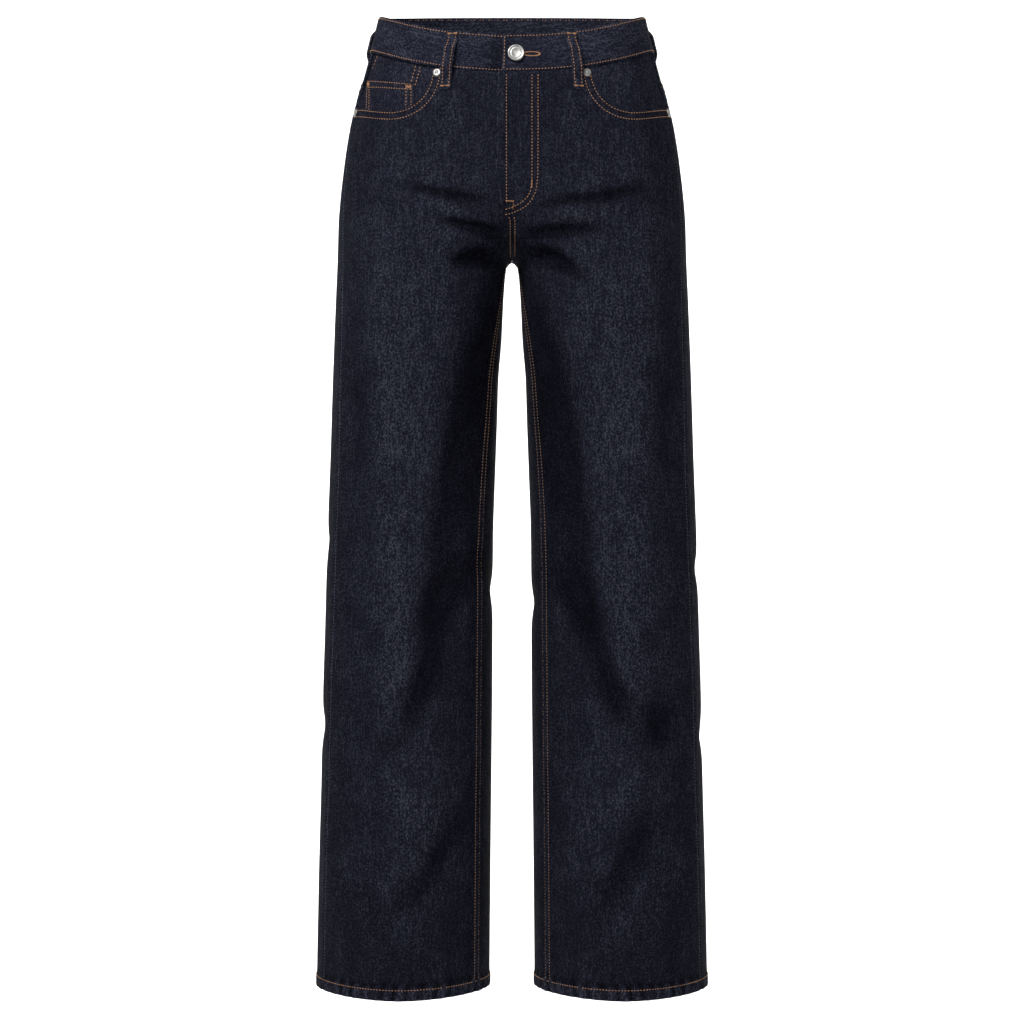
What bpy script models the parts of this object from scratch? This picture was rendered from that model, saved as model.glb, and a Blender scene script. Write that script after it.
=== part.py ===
"""Wide-leg jeans in heavy denim, hollow and filled out as if worn.

Units are metres, +Z is up and the front faces -Y. The origin is the middle of the waist
opening, level with the waistband's top edge at the sides. Left and right are the wearer's,
so the left leg is at +X. Every piece of cloth is laid on one shared surface: a section of
the body or leg at each height, with the main folds pressed in or out along its normal.
"""

import math

import bmesh
import bpy
import numpy as np
from mathutils import Vector

COLLECTION_NAME = "wide_leg_jeans"
LEFT, RIGHT = 1, -1
SIDE_NAMES = {LEFT: "left", RIGHT: "right"}

# Cloth and seams
CLOTH_WALL = 0.0014
SEAM_GAP = 0.0003
LAYER_GAP = 0.0003
PATCH_GAP = 0.0009
SEAM_ANGLE = 0.0018
HEM_HEIGHT = -1.060
HEM_DEPTH = 0.013
HEM_WALL = 0.0030

# Waistband and its belt loops
BAND_DROP = 0.0394
BAND_FRONT_EXTRA = 0.0018
BAND_WALL = 0.0026
BAND_PROUD = 0.0007
BAND_UNDER_END = math.radians(9.0)
BAND_OVER_END = math.radians(2.9)
BAND_STEP_START = math.radians(3.5)
BAND_STEP_END = math.radians(12.0)
WAIST_SIDE_HEIGHT = 0.0025
WAIST_FRONT_DIP = 0.0366
WAIST_FRONT_DEPTH = 0.090
WAIST_FRONT_POWER = 1.85
WAIST_BACK_SLOPE = 0.209
LOOP_WIDTH = 0.012
LOOP_LENGTH = 0.063
LOOP_WALL = 0.0020
LOOP_CLEARANCE = 0.0068
LOOP_TACK = 0.13
LOOP_BOW = (0.36, 0.62)
LOOP_FOOT = 0.80
LOOP_TOP_DOWN = 0.001
FRONT_LOOP_OUT = 0.0625
LOOP_MEASURE_HEIGHT = -0.030
SIDE_LOOP_SHIFT = 0.42

# Crotch, fly and front pockets
RISE_START = -0.150
CROTCH_HEIGHT = -0.264
RISE_POWER = 1.8
FLY_EDGE = 0.0075
FLY_FADE_TOP = -0.212
FLY_FADE_END = -0.250
CENTRE_GAP_GROWTH = 1.5
CENTRE_GAP_TOP = -0.225
CENTRE_GAP_END = -0.245
SCOOP_START = 0.0855
SCOOP_START_HEIGHT = -0.060
SCOOP_WIDTH = 0.0415
SCOOP_POWER = 2.2
SCOOP_LOW = -0.1112
SCOOP_END = -0.0998
SCOOP_END_IN = 0.003
SCOOP_LIFT_POWER = 1.5
FACING_LIFT = -0.0035
FACING_LIFT_UNDER_COIN = -0.0039
FACING_MARGIN = 0.012
FACING_TUCK = 0.08
FACING_BOTTOM = -0.135
FACING_TOP_UP = 0.006
FACING_MEASURE_ANGLE = -1.0
COIN_INNER = 0.106
COIN_OUTER = 0.1605
COIN_TOP_INNER = -0.0830
COIN_TOP_OUTER = -0.0688
COIN_BOTTOM = -0.126
COIN_WALL = 0.0010

# Back yoke and back pockets
YOKE_SIDE_HEIGHT = -0.080
YOKE_BACK_HEIGHT = -0.100
POCKET_MIDDLE = 0.118
POCKET_TOP_WIDTH = 0.150
POCKET_FOOT_WIDTH = 0.132
POCKET_TOP = -0.109
POCKET_TOP_SLOPE = 0.06
POCKET_SIDE_LENGTH = 0.122
POCKET_MID_LENGTH = 0.144
POCKET_MEASURE_HEIGHT = -0.170

# Metal
BUTTON_OUT = 0.0042
BUTTON_HEIGHT = -0.0545
INNER_RIVET_OUT = 0.0800
INNER_RIVET_HEIGHT = -0.0730
OUTER_RIVET_HEIGHT = -0.1056
OUTER_RIVET_SHIFT = 0.06

# Rows and columns of the cloth. Column places are distances out from the middle plane.
FRONT_COLUMN_PLACES = (-0.0075, 0.020, 0.045, 0.066, 0.0795, 0.0855, 0.0870, 0.0915, 0.0985,
                       0.1095, 0.1235, 0.1410, 0.1570, 0.1720)
FRONT_COLUMNS = len(FRONT_COLUMN_PLACES) - 1
BACK_COLUMNS = 18
RISE_ROWS = 9
LEG_ROWS = 19
SIDE_RISE_END = -0.300
SCOOP_ROWS = 0.45
YOKE_ROWS = 3
BAND_COLUMNS, BAND_ROWS = 72, 3
FACING_COLUMNS, FACING_ROWS = 20, 7
COIN_COLUMNS, COIN_ROWS = 12, 5
POCKET_COLUMNS, POCKET_ROWS = 12, 10
LOOP_COLUMNS, LOOP_ROWS = 2, 14
BUTTON_STEPS, RIVET_STEPS = 28, 16
SHARP_ANGLE = math.radians(50)

# One row for each section: half-width to the outside, front and back of the section,
# the depth at which it is widest, and how square its front and back are.
SECTION_COLUMNS = ("height", "outer", "front", "back", "middle", "front_power", "back_power")
SECTIONS = (
    (0.030, 0.1400, -0.0850, 0.0970, 0.004, 2.10, 2.05),
    (0.000, 0.1470, -0.0880, 0.0990, 0.004, 2.12, 2.05),
    (-0.036, 0.1560, -0.0915, 0.1040, 0.005, 2.15, 2.08),
    (-0.066, 0.1640, -0.0950, 0.1110, 0.006, 2.18, 2.10),
    (-0.092, 0.1720, -0.0985, 0.1170, 0.007, 2.20, 2.12),
    (-0.119, 0.1786, -0.1010, 0.1220, 0.008, 2.22, 2.14),
    (-0.145, 0.1830, -0.1030, 0.1260, 0.009, 2.24, 2.16),
    (-0.171, 0.1864, -0.1045, 0.1290, 0.009, 2.25, 2.18),
    (-0.198, 0.1893, -0.1060, 0.1300, 0.009, 2.25, 2.20),
    (-0.224, 0.1911, -0.1065, 0.1285, 0.008, 2.25, 2.20),
    (-0.264, 0.1920, -0.1065, 0.1240, 0.007, 2.25, 2.20),
    (-0.308, 0.1938, -0.1050, 0.1180, 0.006, 2.25, 2.20),
    (-0.396, 0.1970, -0.1010, 0.1080, 0.004, 2.28, 2.20),
    (-0.484, 0.1996, -0.0975, 0.0995, 0.002, 2.32, 2.20),
    (-0.572, 0.2027, -0.0945, 0.0945, 0.000, 2.35, 2.20),
    (-0.660, 0.2051, -0.0935, 0.0935, 0.000, 2.32, 2.20),
    (-0.748, 0.2078, -0.0930, 0.0940, 0.000, 2.28, 2.18),
    (-0.836, 0.2095, -0.0935, 0.0950, 0.000, 2.24, 2.15),
    (-0.924, 0.2120, -0.0945, 0.0960, 0.000, 2.10, 2.12),
    (-1.012, 0.2140, -0.0962, 0.0970, 0.000, 1.86, 2.05),
    (-1.062, 0.2150, -0.0975, 0.0975, 0.000, 1.70, 2.00),
)

# Inner edge of each leg below the crotch, measured from the middle plane.
INNER_COLUMNS = ("height", "inner")
INNER_EDGE = (
    (-0.264, 0.0000),
    (-0.270, 0.0058),
    (-0.277, 0.0070),
    (-0.308, 0.0094),
    (-0.352, 0.0115),
    (-0.396, 0.0150),
    (-0.440, 0.0163),
    (-0.484, 0.0179),
    (-0.572, 0.0207),
    (-0.748, 0.0218),
    (-0.924, 0.0236),
    (-1.062, 0.0248),
)

# How far in from the outline the side seam and the inseam run, seen from the front.
SEAM_COLUMNS = ("height", "side_inset", "inseam_inset")
SEAM_PLACES = (
    (0.030, 0.0030, 0.0000),
    (-0.100, 0.0030, 0.0000),
    (-0.200, 0.0060, 0.0000),
    (-0.264, 0.0085, 0.0000),
    (-0.300, 0.0100, 0.0010),
    (-0.360, 0.0110, 0.0050),
    (-0.420, 0.0115, 0.0065),
    (-0.500, 0.0125, 0.0090),
    (-0.600, 0.0120, 0.0105),
    (-0.750, 0.0110, 0.0110),
    (-1.062, 0.0095, 0.0110),
)

# One row for each fold, as a curve from its start round a bend to its end. On the front
# and back faces "across" is the distance out from the middle plane, and on the outer and
# inner faces it is the depth. A trough has a negative rise and a ridge a positive one.
FOLD_COLUMNS = ("side", "face", "start_across", "start_height", "bend_across", "bend_height",
                "end_across", "end_height", "width", "rise")
FOLDS = (
    (RIGHT, "front", 0.084, -0.204, 0.060, -0.212, 0.036, -0.226, 0.007, -0.0030),
    (RIGHT, "front", 0.088, -0.219, 0.060, -0.226, 0.030, -0.240, 0.009, 0.0025),
    (RIGHT, "front", 0.074, -0.230, 0.045, -0.240, 0.006, -0.252, 0.007, -0.0040),
    (RIGHT, "front", 0.064, -0.272, 0.036, -0.276, 0.012, -0.270, 0.008, -0.0035),
    (RIGHT, "front", 0.040, -0.590, 0.092, -0.628, 0.086, -0.690, 0.016, -0.0060),
    (RIGHT, "front", 0.086, -0.680, 0.094, -0.735, 0.120, -0.772, 0.015, -0.0055),
    (RIGHT, "front", 0.112, -0.560, 0.108, -0.640, 0.124, -0.762, 0.018, 0.0045),
    (RIGHT, "front", 0.060, -0.868, 0.080, -0.925, 0.124, -0.964, 0.015, -0.0045),
    (RIGHT, "front", 0.110, -0.835, 0.102, -0.875, 0.090, -0.915, 0.016, 0.0035),
    (RIGHT, "front", 0.036, -0.330, 0.050, -0.420, 0.052, -0.530, 0.020, -0.0030),
    (LEFT, "front", 0.024, -0.245, 0.056, -0.247, 0.092, -0.242, 0.008, -0.0035),
    (LEFT, "front", 0.064, -0.213, 0.084, -0.212, 0.104, -0.206, 0.007, -0.0020),
    (LEFT, "front", 0.018, -0.268, 0.052, -0.272, 0.076, -0.294, 0.009, -0.0040),
    (LEFT, "front", 0.056, -0.586, 0.074, -0.640, 0.096, -0.694, 0.016, -0.0060),
    (LEFT, "front", 0.096, -0.690, 0.108, -0.735, 0.122, -0.768, 0.014, -0.0050),
    (LEFT, "front", 0.108, -0.570, 0.108, -0.640, 0.124, -0.706, 0.017, 0.0045),
    (LEFT, "front", 0.154, -0.742, 0.157, -0.768, 0.152, -0.796, 0.016, -0.0040),
    (LEFT, "front", 0.142, -0.864, 0.132, -0.905, 0.094, -0.968, 0.016, -0.0045),
    (LEFT, "front", 0.036, -0.340, 0.052, -0.430, 0.050, -0.540, 0.020, -0.0030),
    (RIGHT, "back", 0.020, -0.292, 0.085, -0.318, 0.150, -0.292, 0.015, -0.0050),
    (RIGHT, "back", 0.034, -0.338, 0.090, -0.352, 0.138, -0.340, 0.014, -0.0030),
    (RIGHT, "back", 0.060, -0.560, 0.100, -0.590, 0.150, -0.580, 0.014, -0.0050),
    (RIGHT, "back", 0.046, -0.640, 0.090, -0.625, 0.140, -0.655, 0.015, -0.0045),
    (RIGHT, "back", 0.080, -0.720, 0.112, -0.760, 0.156, -0.772, 0.016, -0.0035),
    (RIGHT, "back", 0.056, -0.900, 0.094, -0.930, 0.140, -0.925, 0.017, -0.0040),
    (LEFT, "back", 0.022, -0.296, 0.080, -0.322, 0.148, -0.300, 0.015, -0.0050),
    (LEFT, "back", 0.040, -0.346, 0.086, -0.356, 0.130, -0.348, 0.014, -0.0028),
    (LEFT, "back", 0.052, -0.574, 0.096, -0.600, 0.154, -0.592, 0.015, -0.0048),
    (LEFT, "back", 0.060, -0.662, 0.104, -0.640, 0.146, -0.668, 0.014, -0.0042),
    (LEFT, "back", 0.070, -0.742, 0.118, -0.772, 0.160, -0.760, 0.016, -0.0038),
    (LEFT, "back", 0.050, -0.884, 0.100, -0.922, 0.150, -0.940, 0.017, -0.0040),
    (RIGHT, "outer", -0.030, -0.560, 0.010, -0.600, 0.045, -0.590, 0.014, -0.0035),
    (RIGHT, "outer", -0.040, -0.760, 0.005, -0.790, 0.046, -0.772, 0.016, -0.0035),
    (LEFT, "outer", -0.040, -0.590, 0.004, -0.622, 0.048, -0.600, 0.015, -0.0035),
    (LEFT, "outer", -0.036, -0.800, 0.006, -0.770, 0.050, -0.765, 0.016, -0.0035),
    (RIGHT, "inner", -0.040, -0.600, 0.000, -0.640, 0.045, -0.632, 0.015, -0.0030),
    (LEFT, "inner", -0.042, -0.620, 0.002, -0.652, 0.046, -0.640, 0.015, -0.0030),
)
FOLD_STEPS = 8
FOLD_END_DEPTH = 0.08
FOLD_FACING = (0.1, 0.6)
CROTCH_FADE_TOP = -0.200
CROTCH_FADE_WIDTH = 0.020

# Profiles of the turned metal, from the top of the middle to the back
PROFILE_COLUMNS = ("radius", "level")
BUTTON_PROFILE = (
    (0.0000, 0.0037),
    (0.0045, 0.0035),
    (0.0066, 0.0036),
    (0.0079, 0.0042),
    (0.0086, 0.0040),
    (0.0090, 0.0034),
    (0.0090, 0.0028),
    (0.0086, 0.0022),
    (0.0079, 0.0020),
    (0.0035, 0.0020),
    (0.0035, 0.0000),
    (0.0000, 0.0000),
)
RIVET_PROFILE = (
    (0.0000, 0.0017),
    (0.0016, 0.0016),
    (0.0020, 0.0011),
    (0.0032, 0.0011),
    (0.0041, 0.0008),
    (0.0045, 0.0003),
    (0.0045, 0.0000),
    (0.0000, 0.0000),
)

# Colour, roughness and metallic value of each material
DENIM_FRONT = ("denim_front", (0.017, 0.018, 0.029), 0.90, 0.0)
DENIM_BACK = ("denim_back", (0.016, 0.017, 0.027), 0.90, 0.0)
DENIM_BAND = ("denim_waistband", (0.020, 0.022, 0.034), 0.88, 0.0)
DENIM_POCKET = ("denim_pocket", (0.014, 0.015, 0.024), 0.90, 0.0)
DENIM_LOOP = ("denim_belt_loop", (0.022, 0.024, 0.036), 0.88, 0.0)
SILVER_METAL = ("silver_metal", (0.62, 0.61, 0.59), 0.28, 1.0)


def smooth_step(low, high, value):
    """0 below low, 1 above high and a smooth rise between them."""
    share = np.clip((value - low) / (high - low), 0.0, 1.0)
    return share * share * (3.0 - 2.0 * share)


def read_table(table, columns, name, height):
    """A column of a table read at any height, on a smooth curve through its rows."""
    rows = sorted(table)
    heights = np.array([row[0] for row in rows])
    values = np.array([row[columns.index(name)] for row in rows])
    rises = np.diff(values) / np.diff(heights)
    slopes = np.zeros(len(values))
    slopes[0], slopes[-1] = rises[0], rises[-1]
    before, after = rises[:-1], rises[1:]
    same_way = before * after > 0.0
    slopes[1:-1][same_way] = (2.0 * before * after)[same_way] / (before + after)[same_way]
    height = np.clip(height, heights[0], heights[-1])
    row = np.clip(np.searchsorted(heights, height, side="right") - 1, 0, len(heights) - 2)
    span = heights[row + 1] - heights[row]
    share = (height - heights[row]) / span
    start = (1.0 + 2.0 * share) * (1.0 - share) ** 2 * values[row]
    end = share ** 2 * (3.0 - 2.0 * share) * values[row + 1]
    leave = share * (1.0 - share) ** 2 * span * slopes[row]
    arrive = share ** 2 * (share - 1.0) * span * slopes[row + 1]
    return start + end + leave + arrive


def section(name, height):
    return read_table(SECTIONS, SECTION_COLUMNS, name, height)


def inner_edge(height):
    """Inner edge of a half: past the middle plane in the body, short of it in the leg."""
    outer = section("outer", height)
    drop = np.clip((RISE_START - height) / (RISE_START - CROTCH_HEIGHT), 0.0, 1.0)
    share = drop ** RISE_POWER
    body = outer * (share - 1.0) / (share + 1.0)
    leg = read_table(INNER_EDGE, INNER_COLUMNS, "inner", height)
    return np.where(height > CROTCH_HEIGHT, body, leg)


def angle_at(out, height, face):
    """Angle round a half's section, 0 at its outside, at a distance out from the middle."""
    outer, inner = section("outer", height), inner_edge(height)
    share = np.clip((out - (outer + inner) / 2) / ((outer - inner) / 2), -1.0, 1.0)
    power = section(face + "_power", height)
    angle = np.arccos(np.sign(share) * np.abs(share) ** (power / 2))
    return -angle if face == "front" else angle


def back_angle_at_arc(arc, height):
    """Angle round the section at a length along the cloth, out from the centre back."""
    shares = np.linspace(0.0, 1.0, 60)
    angles = angle_at(0.0, height, "back")[:, None] * (1.0 - shares)
    points = half_point(LEFT, angles, np.repeat(height[:, None], len(shares), axis=1))
    steps = np.linalg.norm(np.diff(points, axis=1), axis=2)
    lengths = np.concatenate((np.zeros((len(height), 1)), np.cumsum(steps, axis=1)), axis=1)
    return np.array([np.interp(*row) for row in zip(arc, lengths, angles)])


def half_point(side, angle, height):
    """Point of a half's section. Past the middle plane it goes on as the other half does."""
    outer, inner = section("outer", height), inner_edge(height)
    front, back, middle = (section(name, height) for name in ("front", "back", "middle"))
    in_body = height > CROTCH_HEIGHT
    first, last = angle_at(0.0, height, "front"), angle_at(0.0, height, "back")
    crossed = in_body & ((angle < first) | (angle > last))
    inside = np.where(angle < first, 2 * first - angle, np.where(angle > last, 2 * last - angle, angle))
    angle = np.where(crossed, inside, angle)
    on_front = np.sin(angle) < 0.0
    power = np.where(on_front, section("front_power", height), section("back_power", height))
    cosine, sine = np.cos(angle), np.abs(np.sin(angle))
    out = (outer + inner) / 2 + (outer - inner) / 2 * np.sign(cosine) * np.abs(cosine) ** (2 / power)
    depth = middle + np.where(on_front, front - middle, back - middle) * sine ** (2 / power)
    out = np.where(crossed, -out, out)
    return np.stack((side * out, depth, height), axis=-1)


def body_surface(side, angle, height):
    """Point and outward normal of the plain surface, with no folds."""
    turn, rise = 0.01, 0.001
    around = half_point(side, angle + turn, height) - half_point(side, angle - turn, height)
    along = half_point(side, angle, height + rise) - half_point(side, angle, height - rise)
    normal = side * np.cross(around, along)
    normal /= np.linalg.norm(normal, axis=-1, keepdims=True)
    return half_point(side, angle, height), normal


def fold_view(face, side, points, normals):
    """Across value of each point on a face, and how squarely it faces that way."""
    if face == "front":
        return side * points[:, 0], -normals[:, 1]
    if face == "back":
        return side * points[:, 0], normals[:, 1]
    outward = side * normals[:, 0]
    return points[:, 1], outward if face == "outer" else -outward


def fold_rise(side, points, normals):
    """How far the folds press each point in or out."""
    total = np.zeros(len(points))
    for row in FOLDS:
        fold = dict(zip(FOLD_COLUMNS, row))
        if fold["side"] != side:
            continue
        across, facing = fold_view(fold["face"], side, points, normals)
        places = np.stack((across, points[:, 2]), axis=-1)
        start, bend, end = (np.array((fold[key + "_across"], fold[key + "_height"]))
                            for key in ("start", "bend", "end"))
        nearest = np.full(len(points), 1.0)
        travel = np.zeros(len(points))
        last = start
        for step in range(1, FOLD_STEPS + 1):
            share = step / FOLD_STEPS
            here = (1 - share) ** 2 * start + 2 * share * (1 - share) * bend + share ** 2 * end
            run = here - last
            along = np.clip((places - last) @ run / (run @ run), 0.0, 1.0)
            distance = np.linalg.norm(places - last - along[:, None] * run, axis=1)
            closer = distance < nearest
            travel = np.where(closer, (step - 1 + along) / FOLD_STEPS, travel)
            nearest = np.minimum(nearest, distance)
            last = here
        taper = np.sin(math.pi * (FOLD_END_DEPTH + (1.0 - 2.0 * FOLD_END_DEPTH) * travel))
        bell = np.exp(-((nearest / fold["width"]) ** 2))
        total += fold["rise"] * taper * bell * smooth_step(*FOLD_FACING, facing)
    near_middle = smooth_step(0.0, CROTCH_FADE_WIDTH, np.abs(points[:, 0]))
    return total * np.where(points[:, 2] < CROTCH_FADE_TOP, near_middle, 1.0)


def cloth(side, angle, height, lift):
    """Points that stand lift outside the cloth's outer face, folds included."""
    points, normals = body_surface(side, angle, height)
    return points + normals * (fold_rise(side, points, normals) + lift)[:, None]


def front_share(side, angle):
    """How far to the front a place on the waist is, from 0 at the sides to 1 in the middle."""
    depth = half_point(side, angle, np.zeros_like(angle))[..., 1]
    return (np.maximum(-depth, 0.0) / WAIST_FRONT_DEPTH) ** WAIST_FRONT_POWER


def waist_top(side, angle):
    """Height of the waistband's top edge: it dips at the front and rises at the back."""
    depth = half_point(side, angle, np.zeros_like(angle))[..., 1]
    dip = WAIST_FRONT_DIP * front_share(side, angle)
    return WAIST_SIDE_HEIGHT - dip + WAIST_BACK_SLOPE * np.maximum(depth, 0.0)


def band_height(side, angle):
    """Height of the waistband itself, which is a little deeper at the front."""
    return BAND_DROP + BAND_FRONT_EXTRA * front_share(side, angle)


def waist_seam(side, angle):
    return waist_top(side, angle) - band_height(side, angle)


def side_seam_angle(height):
    inset = read_table(SEAM_PLACES, SEAM_COLUMNS, "side_inset", height)
    return angle_at(section("outer", height) - inset, height, "front")


def inseam_angle(height):
    inset = read_table(SEAM_PLACES, SEAM_COLUMNS, "inseam_inset", height)
    return angle_at(inner_edge(height) + inset, height, "front")


def fly_line(height):
    """Distance of the fly's edge from the middle plane: it fades out at the crotch."""
    return FLY_EDGE * smooth_step(FLY_FADE_END, FLY_FADE_TOP, height)


def centre_gap(height):
    """Half the gap at the centre seams, which opens a little where they turn under."""
    return SEAM_ANGLE * (1.0 + CENTRE_GAP_GROWTH * smooth_step(CENTRE_GAP_TOP, CENTRE_GAP_END, height))


def front_inner_angle(side, height):
    """Inner edge of a front panel: the fly and centre seam, and then the inseam."""
    first = angle_at(0.0, height, "front")
    shift = angle_at(fly_line(height), height, "front") - first
    body = first - side * shift + centre_gap(height)
    return np.where(height > CROTCH_HEIGHT, body, inseam_angle(height) + SEAM_ANGLE)


def back_inner_angle(height):
    """Inner edge of a back panel: the centre back seam, and then the inseam."""
    body = angle_at(0.0, height, "back") - centre_gap(height)
    return np.where(height > CROTCH_HEIGHT, body, 2 * math.pi + inseam_angle(height) - SEAM_ANGLE)


def scoop_height(out):
    """Height of the front pocket's scooped edge at a distance out from the middle plane."""
    share = np.clip((out - SCOOP_START) / SCOOP_WIDTH, 0.0, 1.0)
    start = waist_seam(LEFT, angle_at(SCOOP_START, SCOOP_START_HEIGHT, "front"))
    curve = (1 - (1 - share) ** SCOOP_POWER) ** (1 / SCOOP_POWER)
    low_out = SCOOP_START + SCOOP_WIDTH
    seam_out = section("outer", SCOOP_END) - SCOOP_END_IN
    lift = np.clip((out - low_out) / (seam_out - low_out), 0.0, 1.0) ** SCOOP_LIFT_POWER
    return start + (SCOOP_LOW - start) * curve + (SCOOP_END - SCOOP_LOW) * lift


def seam_heights(face, top, share):
    """Heights spaced evenly along the centre seam from top down to the crotch."""
    heights = np.linspace(top, CROTCH_HEIGHT + 1e-5, 200)
    points = half_point(LEFT, angle_at(0.0, heights, face), heights)
    length = np.concatenate(([0.0], np.cumsum(np.linalg.norm(np.diff(points, axis=0), axis=1))))
    return np.interp(share * length[-1], length, heights)


def panel_heights(face, row, top_inner, top_side, extra_rows):
    """Heights of a panel's row at its inner edge and at the side seam."""
    rise_rows = RISE_ROWS + extra_rows
    in_rise = np.clip((row + extra_rows) / rise_rows, 0.0, 1.0)
    in_leg = np.clip((row - RISE_ROWS) / LEG_ROWS, 0.0, 1.0)
    inner_rise = seam_heights(face, top_inner, in_rise)
    inner = np.where(row < RISE_ROWS, inner_rise, CROTCH_HEIGHT + (HEM_HEIGHT - CROTCH_HEIGHT) * in_leg)
    side_rise = np.interp(row, (-extra_rows - 1e-9, 0, RISE_ROWS), (top_side, SCOOP_END, SIDE_RISE_END))
    side = np.where(row < RISE_ROWS, side_rise, SIDE_RISE_END + (HEM_HEIGHT - SIDE_RISE_END) * in_leg)
    return inner, side


def front_columns(across, row):
    """Share of the way out to the side seam: columns crowd at the pocket and even out below."""
    angles = angle_at(np.array(FRONT_COLUMN_PLACES), SCOOP_END, "front")
    shares = (angles - angles[0]) / (angles[-1] - angles[0])
    crowded = np.interp(across, np.linspace(0.0, 1.0, len(shares)), shares)
    return crowded + (across - crowded) * smooth_step(0.0, RISE_ROWS, row)


def front_place(side, across, down):
    """Angle and height of a point of a front panel."""
    row = down * (RISE_ROWS + LEG_ROWS)
    top_inner = float(waist_seam(side, np.array(-math.pi / 2))) - SEAM_GAP
    inner, outer = panel_heights("front", row, top_inner, SCOOP_END, 0)
    share = front_columns(across, row)
    height = inner + (outer - inner) * smooth_step(0.0, 1.0, share)
    # The top edge follows the waist seam and then the scoop, and the rows below ease into it.
    top_share = front_columns(across, np.zeros_like(row))
    first = front_inner_angle(side, np.full_like(row, SCOOP_END))
    top_angle = first + (side_seam_angle(SCOOP_END) - first) * top_share
    out = side * half_point(side, top_angle, np.full_like(row, SCOOP_END))[..., 0]
    on_scoop = out > SCOOP_START
    top = np.where(on_scoop, scoop_height(out), waist_seam(side, top_angle) - SEAM_GAP)
    plain_top = top_inner + (SCOOP_END - top_inner) * smooth_step(0.0, 1.0, top_share)
    ease = np.clip(1.0 - row / (SCOOP_ROWS * RISE_ROWS), 0.0, 1.0) ** 2
    height = height + (top - plain_top) * ease
    first, last = front_inner_angle(side, height), side_seam_angle(height) - SEAM_ANGLE
    return first + (last - first) * share, height


def back_place(side, across, down):
    """Angle and height of a point of a back panel."""
    row = down * (RISE_ROWS + LEG_ROWS + 1) - 1.0
    inner, outer = panel_heights("back", row, YOKE_BACK_HEIGHT - SEAM_GAP, YOKE_SIDE_HEIGHT - SEAM_GAP, 1)
    height = inner + (outer - inner) * smooth_step(0.0, 1.0, across)
    first, last = back_inner_angle(height), side_seam_angle(height) + SEAM_ANGLE
    return first + (last - first) * across, height


def yoke_place(side, across, down):
    """Angle and height of a point of a yoke, which is deeper at the centre back."""
    bottom = YOKE_BACK_HEIGHT + (YOKE_SIDE_HEIGHT - YOKE_BACK_HEIGHT) * smooth_step(0.0, 1.0, across)
    first, last = back_inner_angle(bottom), side_seam_angle(bottom) + SEAM_ANGLE
    top = waist_seam(side, first + (last - first) * across) - SEAM_GAP
    height = top + (bottom - top) * down
    first, last = back_inner_angle(height), side_seam_angle(height) + SEAM_ANGLE
    return first + (last - first) * across, height


def band_bearing(travel):
    """Side of the body and angle on it, at a travel round the waist from the middle front."""
    bearing = (math.pi - travel) % (2 * math.pi) - math.pi
    return np.where(bearing >= 0.0, LEFT, RIGHT), np.abs(bearing) - math.pi / 2


def band_travel(across):
    """Travel round the waist: from the under end at the left front to the over end."""
    return -BAND_UNDER_END + (2 * math.pi + BAND_UNDER_END + BAND_OVER_END) * across


def band_lift(travel):
    """Lift of the band's outer face, which is lower where it runs under its own end."""
    under = 1.0 - smooth_step(BAND_STEP_START, BAND_STEP_END, travel)
    return BAND_PROUD - under * (BAND_WALL + LAYER_GAP)


def facing_place(side, across, down):
    """Angle and height of a point of a front pocket's facing."""
    top = waist_seam(side, np.full_like(across, FACING_MEASURE_ANGLE)) + FACING_TOP_UP
    height = top + (FACING_BOTTOM - top) * down
    first = angle_at(SCOOP_START - FACING_MARGIN, height, "front")
    angle = first + (side_seam_angle(height) + FACING_TUCK - first) * across
    height = height + (waist_seam(side, angle) - waist_seam(side, first)) * (1.0 - down)
    return angle, height


def coin_place(across, down):
    """Angle and height of a point of the coin pocket."""
    top = COIN_TOP_INNER + (COIN_TOP_OUTER - COIN_TOP_INNER) * across
    height = top + (COIN_BOTTOM - top) * down
    first, last = angle_at(COIN_INNER, height, "front"), angle_at(COIN_OUTER, height, "front")
    return first + (last - first) * across, height


def pocket_place(across, down):
    """Angle and height of a point of a back pocket, which has a pointed foot."""
    width = POCKET_TOP_WIDTH + (POCKET_FOOT_WIDTH - POCKET_TOP_WIDTH) * down
    arc = POCKET_MIDDLE + (across - 0.5) * width
    length = POCKET_MID_LENGTH - (POCKET_MID_LENGTH - POCKET_SIDE_LENGTH) * np.abs(2 * across - 1)
    height = POCKET_TOP + POCKET_TOP_SLOPE * (across - 0.5) * width - down * length
    measured = np.full_like(height, POCKET_MEASURE_HEIGHT)
    out = half_point(LEFT, back_angle_at_arc(arc, measured), measured)[:, 0]
    return angle_at(out, height, "back"), height


def loop_place(side, middle_angle, across, down):
    """Angle and height of a point of a belt loop."""
    middle = np.full_like(across, middle_angle)
    height = waist_top(side, middle) - LOOP_TOP_DOWN - down * LOOP_LENGTH
    turn = 0.05
    chord = half_point(side, middle + turn, height) - half_point(side, middle - turn, height)
    reach = np.linalg.norm(chord, axis=-1) / (2 * turn)
    return middle + (across - 0.5) * LOOP_WIDTH / reach, height


def loop_lift(down):
    """Lift of the back of a belt loop, which stands off between its tacked ends."""
    bow = smooth_step(LOOP_TACK, LOOP_BOW[0], down) * smooth_step(1.0 - LOOP_TACK, LOOP_BOW[1], down)
    seat = LAYER_GAP + BAND_PROUD * smooth_step(1.0, LOOP_FOOT, down)
    return seat + bow * (LOOP_CLEARANCE - LAYER_GAP)


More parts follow.
